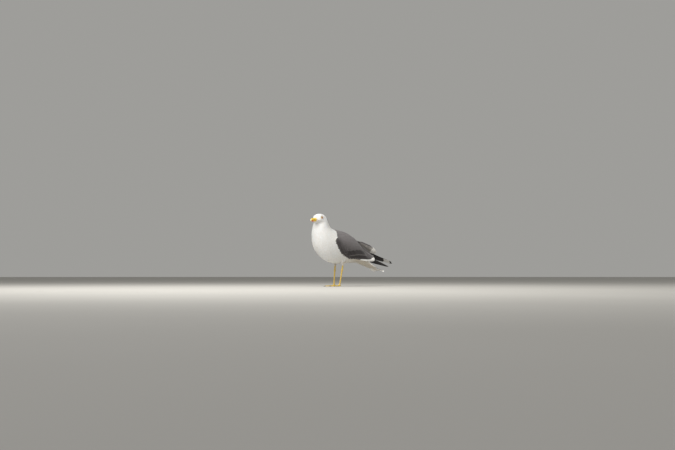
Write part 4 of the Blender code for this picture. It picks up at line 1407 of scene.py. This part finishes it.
wavy = maths(tree, "ADD", from_spot.outputs["Value"],
             maths(tree, "MULTIPLY", maths(tree, "SUBTRACT", mottle.outputs["Fac"], 0.5), 0.5))
red = add_node(tree, "ShaderNodeMapRange", {"interpolation_type": "SMOOTHSTEP"}, {
    "Value": wavy, "From Min": 1.1, "From Max": 0.75})
spotted = add_node(tree, "ShaderNodeMix", {"data_type": "RGBA"}, {
    "Factor": red.outputs["Result"], "A": tipped.outputs["Result"], "B": linear("DE3C16")})
# The nostril slit is painted dark brown, as painted shade in its opening.
in_slit = add_node(tree, "ShaderNodeCombineXYZ", inputs={
    "X": maths(tree, "DIVIDE", maths(tree, "SUBTRACT", ahead, NOSTRIL_AHEAD), 3.3),
    "Y": maths(tree, "DIVIDE", maths(tree, "SUBTRACT", up, NOSTRIL_UP), 0.75)})
slit_reach = add_node(tree, "ShaderNodeVectorMath", {"operation": "LENGTH"}, {0: in_slit.outputs[0]})
slit_shade = add_node(tree, "ShaderNodeMapRange", {"interpolation_type": "SMOOTHSTEP"}, {
    "Value": slit_reach.outputs["Value"], "From Min": 1.0, "From Max": 0.6, "To Max": 0.85})
slit_shaded = add_node(tree, "ShaderNodeMix", {"data_type": "RGBA"}, {
    "Factor": slit_shade.outputs["Result"], "A": spotted.outputs["Result"], "B": linear("4A2A10")})
lines = add_node(tree, "ShaderNodeTexNoise", inputs={
    "Vector": add_node(tree, "ShaderNodeCombineXYZ", inputs={
        "X": maths(tree, "MULTIPLY", ahead, 0.12), "Y": up}).outputs[0],
    "Scale": 2.2, "Detail": 3.0})
bump = add_node(tree, "ShaderNodeBump", inputs={
    "Height": lines.outputs["Fac"], "Strength": 0.3, "Distance": 0.15 * MM})
tree.links.new(slit_shaded.outputs["Result"], shader.inputs["Base Color"])
tree.links.new(bump.outputs["Normal"], shader.inputs["Normal"])
shader.inputs["Roughness"].default_value = 0.34
shader.inputs["IOR"].default_value = 1.54
shader.inputs["Subsurface Weight"].default_value = 0.08
shader.inputs["Subsurface Radius"].default_value = (0.004, 0.002, 0.001)
for horn in bill.values():
    horn.data.materials.append(horn_paint)

# %% [markdown]
# Behind the bill a line of soft orange flesh, the gape, runs back under the eye. It is
# a thin strip with tapered ends, laid on the cheek.

# %% The gape
def strip_on_form(name, path, half_heights, half_depths, sides=10):
    """A closed strip along places on the head, laid on the form."""
    graph_tree = BVHTree.FromObject(form, bpy.context.evaluated_depsgraph_get())
    spots = []
    for k, place in enumerate(path):
        spot, normal, _, _ = graph_tree.find_nearest(on_head(*place))
        rise = (UP - normal * UP.dot(normal)).normalized()
        for n in range(sides):
            angle = 2 * math.pi * n / sides
            spots.append(spot + rise * half_heights[k] * math.sin(angle) * MM
                         + normal * half_depths[k] * math.cos(angle) * MM)
    faces = []
    for k in range(len(path) - 1):
        for n in range(sides):
            a, b = k * sides + n, k * sides + (n + 1) % sides
            faces.append((a, b, b + sides, a + sides))
    faces += [tuple(range(sides - 1, -1, -1)), tuple((len(path) - 1) * sides + n for n in range(sides))]
    made = mesh_piece(name, spots, faces)
    work = bmesh.new()
    work.from_mesh(made.data)
    bmesh.ops.recalc_face_normals(work, faces=work.faces)
    work.to_mesh(made.data)
    work.free()
    return made


# Bare wet flesh: a thin smooth skin that lets light in, orange red, mottled darker.
flesh, tree, shader = new_material("gape_and_lid_bare_skin")
place = add_node(tree, "ShaderNodeTexCoord")
grain = add_node(tree, "ShaderNodeTexNoise", inputs={
    "Vector": place.outputs["Object"], "Scale": 900.0, "Detail": 3.0})
tint = add_node(tree, "ShaderNodeMix", {"data_type": "RGBA"}, {
    "Factor": grain.outputs["Fac"], "A": linear("A8491F"), "B": linear("6E2A12")})
bump = add_node(tree, "ShaderNodeBump", inputs={
    "Height": grain.outputs["Fac"], "Strength": 0.5, "Distance": 0.15 * MM})
tree.links.new(tint.outputs["Result"], shader.inputs["Base Color"])
tree.links.new(bump.outputs["Normal"], shader.inputs["Normal"])
shader.inputs["Roughness"].default_value = 0.42
shader.inputs["Subsurface Weight"].default_value = 0.1
shader.inputs["Subsurface Radius"].default_value = (0.003, 0.001, 0.0006)

GAPE_STEPS = 14
for side_name, sign in (("left", -1), ("right", 1)):
    t = np.linspace(0, 1, GAPE_STEPS)
    path = [(25.0 - 17 * k, sign * (8 + 14 * k), -11.6 - 2.2 * k - 1.6 * k * k) for k in t]
    taper = np.sqrt(np.clip(1 - t**1.6, 0.02, 1))
    pieces[side_name + "_gape"] = strip_on_form(
        side_name + "_gape", path, 0.72 * taper, 0.3 * taper + 0.1)
    pieces[side_name + "_gape"].data.materials.append(flesh)

# %% [markdown]
# A gull's eye is a ball of which the lids leave a round window: a dark pupil, a pale
# yellow iris with a darker rim, under a clear bulging cornea that mirrors the sky. The
# lids' bare edge is a vermilion ring, flatter on top, which gives the stern look.

# %% Eyes
def on_axis(centre, axis):
    """Three directions at an eye: across, up and out."""
    across = UP.cross(axis).normalized()
    return across, axis.cross(across).normalized(), axis


EYEBALL_MM = 8.1
WINDOW_MM = 5.1  # radius of the window between the lids
RING_STEPS = 56
rows, columns = 40, 48

# The lids: bare pleated skin, vermilion at the rim, white as the face where it ends.
lid_paint, tree, shader = new_material("lid_bare_skin_pleated")
reach = add_node(tree, "ShaderNodeAttribute", {"attribute_name": "reach"}).outputs["Fac"]
place = add_node(tree, "ShaderNodeTexCoord")
grain = add_node(tree, "ShaderNodeTexNoise", inputs={
    "Vector": place.outputs["Object"], "Scale": 1100.0, "Detail": 3.0})
red = add_node(tree, "ShaderNodeMix", {"data_type": "RGBA"}, {
    "Factor": grain.outputs["Fac"], "A": linear("C8401A"), "B": linear("8E2A12")})
fade = add_node(tree, "ShaderNodeMapRange", {"interpolation_type": "SMOOTHSTEP"}, {
    "Value": reach, "From Min": 6.3, "From Max": 7.0})
rim = add_node(tree, "ShaderNodeMix", {"data_type": "RGBA"}, {
    "Factor": fade.outputs["Result"], "A": red.outputs["Result"], "B": linear("CFC6BC")})
bump = add_node(tree, "ShaderNodeBump", inputs={
    "Height": grain.outputs["Fac"], "Strength": 0.5, "Distance": 0.12 * MM})
tree.links.new(rim.outputs["Result"], shader.inputs["Base Color"])
tree.links.new(bump.outputs["Normal"], shader.inputs["Normal"])
shader.inputs["Roughness"].default_value = 0.45
# Clear cornea over a coloured iris: a wet mirror-smooth surface.
eye_paint, tree, shader = new_material("eye_wet_cornea_over_iris")
off_axis = add_node(tree, "ShaderNodeAttribute", {"attribute_name": "off_axis"}).outputs["Fac"]
around = add_node(tree, "ShaderNodeAttribute", {"attribute_name": "around"}).outputs["Fac"]
ramp = add_node(tree, "ShaderNodeValToRGB", inputs={"Fac": maths(tree, "DIVIDE", off_axis, 60.0)})
stops = [(0.0, "050404"), (0.265, "070505"), (0.29, "8E7A3C"), (0.34, "D9CB82"), (0.56, "DCCF8A"),
         (0.64, "8F7B3E"), (0.68, "241A12"), (1.0, "1A120E")]
for k, (where, code) in enumerate(stops):
    element = ramp.color_ramp.elements[k] if k < 2 else ramp.color_ramp.elements.new(where)
    element.position = where
    element.color = linear(code)
rays = add_node(tree, "ShaderNodeTexNoise", inputs={
    "Vector": add_node(tree, "ShaderNodeCombineXYZ", inputs={
        "X": around, "Y": maths(tree, "MULTIPLY", off_axis, 0.03)}).outputs[0],
    "Scale": 9.0, "Detail": 3.0})
iris = add_node(tree, "ShaderNodeMix", {"data_type": "RGBA", "blend_type": "MULTIPLY"}, {
    "Factor": 0.35, "A": ramp.outputs["Color"], "B": rays.outputs["Fac"]})
tree.links.new(iris.outputs["Result"], shader.inputs["Base Color"])
shader.inputs["Roughness"].default_value = 0.08
shader.inputs["IOR"].default_value = 1.38
shader.inputs["Coat Weight"].default_value = 1.0
shader.inputs["Coat Roughness"].default_value = 0.02

for side_name, sign in (("left", -1), ("right", 1)):
    centre = middle(side_name + "_eye")
    reach = np.linalg.norm(points - np.array(centre), axis=1) / MM
    near = (reach > 8.6) & (reach < 11.5)
    axis = Vector(normals[near].mean(0)).normalized()
    plane_mm = float(((points[near] - np.array(centre)) @ np.array(axis)).mean() / MM)
    across, rise, out = on_axis(centre, axis)
    print(side_name, "eye: the cheek stands", round(plane_mm, 1), "mm out from its middle")
    spots, angles, turns = [centre + out * (EYEBALL_MM + 0.5) * MM], [0.0], [0.0]
    for r in range(1, rows):
        off = math.pi * r / rows
        bulge = 0.5 * float(1 - smooth_step(math.degrees(off), 10, 46))
        for c in range(columns):
            turn = 2 * math.pi * c / columns
            ray = out * math.cos(off) + (across * math.cos(turn) + rise * math.sin(turn)) * math.sin(off)
            spots.append(centre + ray * (EYEBALL_MM + bulge) * MM)
            angles.append(math.degrees(off))
            turns.append(math.sin(turn * 3) + turn)
    spots.append(centre - out * EYEBALL_MM * MM)
    angles.append(180.0)
    turns.append(0.0)
    faces = [(0, 1 + c, 1 + (c + 1) % columns) for c in range(columns)]
    for r in range(rows - 2):
        for c in range(columns):
            a, b = 1 + r * columns + c, 1 + r * columns + (c + 1) % columns
            faces.append((a, a + columns, b + columns, b))
    last = len(spots) - 1
    faces += [(last, last - columns + (c + 1) % columns, last - columns + c) for c in range(columns)]
    ball = mesh_piece(side_name + "_eyeball", spots, faces, eye_paint)
    keep_on(ball, "off_axis", "FLOAT", np.array(angles))
    keep_on(ball, "around", "FLOAT", np.array(turns))
    pieces[side_name + "_eyeball"] = ball

    # The lid's section: (distance from the axis, height over the middle), from the
    # outer foot under the feathers over the rolled bare edge down on to the ball.
    edge_mm = math.sqrt(EYEBALL_MM**2 - WINDOW_MM**2)
    section = [(8.9, plane_mm - 1.8), (8.7, plane_mm - 0.9), (7.6, plane_mm - 0.1),
               (6.7, edge_mm - 0.1), (6.2, edge_mm + 0.45), (5.7, edge_mm + 0.55),
               (5.25, edge_mm + 0.25), (5.05, edge_mm - 0.5), (6.6, edge_mm - 2.6)]
    spots, faces, reaches = [], [], []
    for r in range(RING_STEPS):
        turn = 2 * math.pi * r / RING_STEPS
        stretch = 1 + 0.05 * math.cos(2 * turn) - 0.06 * max(0.0, math.sin(turn)) ** 2
        pleat = 0.05 * math.sin(19 * turn)
        outward = across * math.cos(turn) + rise * math.sin(turn)
        for reach_mm, height in section:
            spots.append(centre + (outward * (reach_mm * stretch + pleat) + out * (height + pleat)) * MM)
            reaches.append(reach_mm)
    count = len(section)
    for r in range(RING_STEPS):
        for k in range(count):
            a, b = r * count + k, r * count + (k + 1) % count
            c, d = (r + 1) % RING_STEPS * count + k, (r + 1) % RING_STEPS * count + (k + 1) % count
            faces.append((a, b, d, c))
    lids = mesh_piece(side_name + "_lids", spots, faces, flesh)
    work = bmesh.new()
    work.from_mesh(lids.data)
    bmesh.ops.recalc_face_normals(work, faces=work.faces)
    work.to_mesh(lids.data)
    work.free()
    keep_on(lids, "reach", "FLOAT", np.array(reaches))
    lids.data.materials.clear()
    lids.data.materials.append(lid_paint)
    pieces[side_name + "_lids"] = lids
print("eyes and lids made")

# %% [markdown]
# Legs and feet are bare: tough yellow skin in scales. Down the front of the shank and
# over the toes these are broad plates, scutes, three millimetres long; elsewhere they
# are a fine net. Between the toes is a thin web. Leg and foot are wrapped as one skin,
# and the edges of the plates are pressed into the mesh itself.

# %% Legs and feet
SCUTE_MM = 3.2
TOE_SCUTE_MM = 2.2
GROOVE_MM = 0.16
TOE_ANGLES = (-25, -1, 23)  # from straight ahead, outwards
TOE_LENGTHS = (40, 52, 48)

# Scaled bare skin: waxy, yellow, with a finer net of scales and darker joints.
leg_paint, tree, shader = new_material("leg_skin_scaled_waxy")
place = add_node(tree, "ShaderNodeTexCoord")
net = add_node(tree, "ShaderNodeTexVoronoi", {"feature": "DISTANCE_TO_EDGE"}, {
    "Vector": place.outputs["Object"], "Scale": 700.0})
gap = add_node(tree, "ShaderNodeMapRange", inputs={
    "Value": net.outputs["Distance"], "From Min": 0.0, "From Max": 0.12, "To Min": 1.0, "To Max": 0.0})
tinge = add_node(tree, "ShaderNodeTexNoise", inputs={
    "Vector": place.outputs["Object"], "Scale": 60.0, "Detail": 4.0})
skin_tone = add_node(tree, "ShaderNodeMix", {"data_type": "RGBA"}, {
    "Factor": tinge.outputs["Fac"], "A": linear("E8CD6C"), "B": linear("D0AC4C")})
creased = add_node(tree, "ShaderNodeMix", {"data_type": "RGBA"}, {
    "Factor": maths(tree, "MULTIPLY", gap.outputs["Result"], 0.35),
    "A": skin_tone.outputs["Result"], "B": linear("A3823A")})
groove = add_node(tree, "ShaderNodeAttribute", {"attribute_name": "groove"})
plated = add_node(tree, "ShaderNodeMix", {"data_type": "RGBA"}, {
    "Factor": maths(tree, "MULTIPLY", groove.outputs["Fac"], 0.55),
    "A": creased.outputs["Result"], "B": linear("94742F")})
bump = add_node(tree, "ShaderNodeBump", {"invert": True}, {
    "Height": gap.outputs["Result"], "Strength": 0.5, "Distance": 0.15 * MM})
tree.links.new(plated.outputs["Result"], shader.inputs["Base Color"])
tree.links.new(bump.outputs["Normal"], shader.inputs["Normal"])
shader.inputs["Roughness"].default_value = 0.5
shader.inputs["Subsurface Weight"].default_value = 0.06
shader.inputs["Subsurface Radius"].default_value = (0.004, 0.002, 0.001)


def wave_groove(value, spacing):
    """Narrow grooves at even distances: 1 in a groove and 0 between two."""
    phase = np.abs((value / spacing) % 1 - 0.5) * 2
    return smooth_step(phase, 0.72, 1.0)


for side_name, sign in (("left", -1), ("right", 1)):
    leg = refined(side_name + "_leg_and_foot", [side_name + "_leg", side_name + "_foot"], 0.62 * MM, 8)
    sole = soles[0] if sign < 0 else soles[1]
    spots, facing = arrays(leg)
    spots = spots.copy()
    local = (spots - np.array(sole)) / MM
    shank = smooth_step(local[:, 2], 12, 17) * smooth_step(-facing[:, 0], -0.1, 0.45)
    groove_depth = wave_groove(local[:, 2] + 0.35 * local[:, 1] * 0.5, SCUTE_MM) * shank
    toe_top = smooth_step(facing[:, 2], 0.1, 0.6) * (1 - smooth_step(local[:, 2], 9, 13))
    best = np.full(len(local), 1e9)
    along = np.zeros(len(local))
    for angle, length in zip(TOE_ANGLES, TOE_LENGTHS):
        turn = math.radians(angle)
        line = np.array([-math.cos(turn), sign * math.sin(turn)])
        reach = local[:, :2] @ line
        off = np.abs(local[:, 0] * line[1] - local[:, 1] * line[0]) + 1e3 * (reach < -1)
        nearer = off < best
        best[nearer], along[nearer] = off[nearer], reach[nearer]
    on_toe = 1 - smooth_step(best, 2.4, 3.4)
    groove_depth += wave_groove(along, TOE_SCUTE_MM) * toe_top * on_toe
    reach = np.hypot(local[:, 0], local[:, 1])
    bearing = np.degrees(np.arctan2(local[:, 1] * sign, -local[:, 0]))
    on_web = (1 - on_toe) * smooth_step(reach, 9, 16) * (np.abs(facing[:, 2]) > 0.5)
    wrinkle = 0.5 + 0.5 * np.sin(np.radians(bearing) * 34 + 0.25 * reach)
    ridge = GROOVE_MM * groove_depth + 0.12 * wrinkle * on_web * (facing[:, 2] > 0)
    spots -= facing * (ridge * MM)[:, None]
    spots[:, 2] = np.maximum(spots[:, 2], 0)
    low = spots[:, 2] < 0.45 * MM
    spots[low, 2] = 0
    set_points(leg, spots)
    keep_on(leg, "groove", "FLOAT", np.clip(groove_depth, 0, 1))
    leg.data.materials.append(leg_paint)
    pieces[side_name + "_leg_and_foot"] = leg
    print(leg.name, len(leg.data.polygons), "faces")

# %% [markdown]
# The claws keep their solids, in dark horn: hard, smooth, and scuffed dull at the tips.

# %% Claws
claw_paint, tree, shader = new_material("claw_horn_scuffed")
place = add_node(tree, "ShaderNodeTexCoord")
scuff = add_node(tree, "ShaderNodeTexNoise", inputs={
    "Vector": place.outputs["Object"], "Scale": 1200.0, "Detail": 4.0})
tint = add_node(tree, "ShaderNodeMix", {"data_type": "RGBA"}, {
    "Factor": scuff.outputs["Fac"], "A": linear("1C1815"), "B": linear("4A4037")})
rough = add_node(tree, "ShaderNodeMapRange", inputs={
    "Value": scuff.outputs["Fac"], "To Min": 0.3, "To Max": 0.6})
bump = add_node(tree, "ShaderNodeBump", inputs={
    "Height": scuff.outputs["Fac"], "Strength": 0.3, "Distance": 0.05 * MM})
tree.links.new(tint.outputs["Result"], shader.inputs["Base Color"])
tree.links.new(rough.outputs["Result"], shader.inputs["Roughness"])
tree.links.new(bump.outputs["Normal"], shader.inputs["Normal"])
for name, node in nodes.items():
    if name.endswith("_claw"):
        node.data.materials.clear()
        node.data.materials.append(claw_paint)
        print(name, "keeps its solid")

# %% [markdown]
# Every piece rides on the one body of the model.

# %% Pieces on the one body
for piece in (form, soft_vane, covert_vane, broad_quill, pointed_quill, *moulds.values()):
    bpy.data.objects.remove(piece)
for name, horn in bill.items():
    pieces[name + "_horn"] = horn
SLOTS = [("horn", "bill_horn"), ("gape", "bill_horn"), ("lids", "bill_horn"), ("eyeball", "iris"),
         ("leg_and_foot", "leg_skin"), ("primary_quills", "black_plumage"), ("mantle", "slate_plumage"), ("coverts", "slate_plumage"),
         ("tertials", "slate_plumage"), ("secondaries", "slate_plumage"), ("", "white_plumage")]
for name, piece in {**pieces, "skin": skin}.items():
    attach(piece, "root")
    next(slot for word, slot in SLOTS if word in name)
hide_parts(*FLESH)
for name in ("left", "right"):
    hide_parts(name + "_primaries")
    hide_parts(name + "_eye")
    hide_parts(name + "_leg", name + "_foot")
for name, horn in bill.items():
    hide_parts(name)
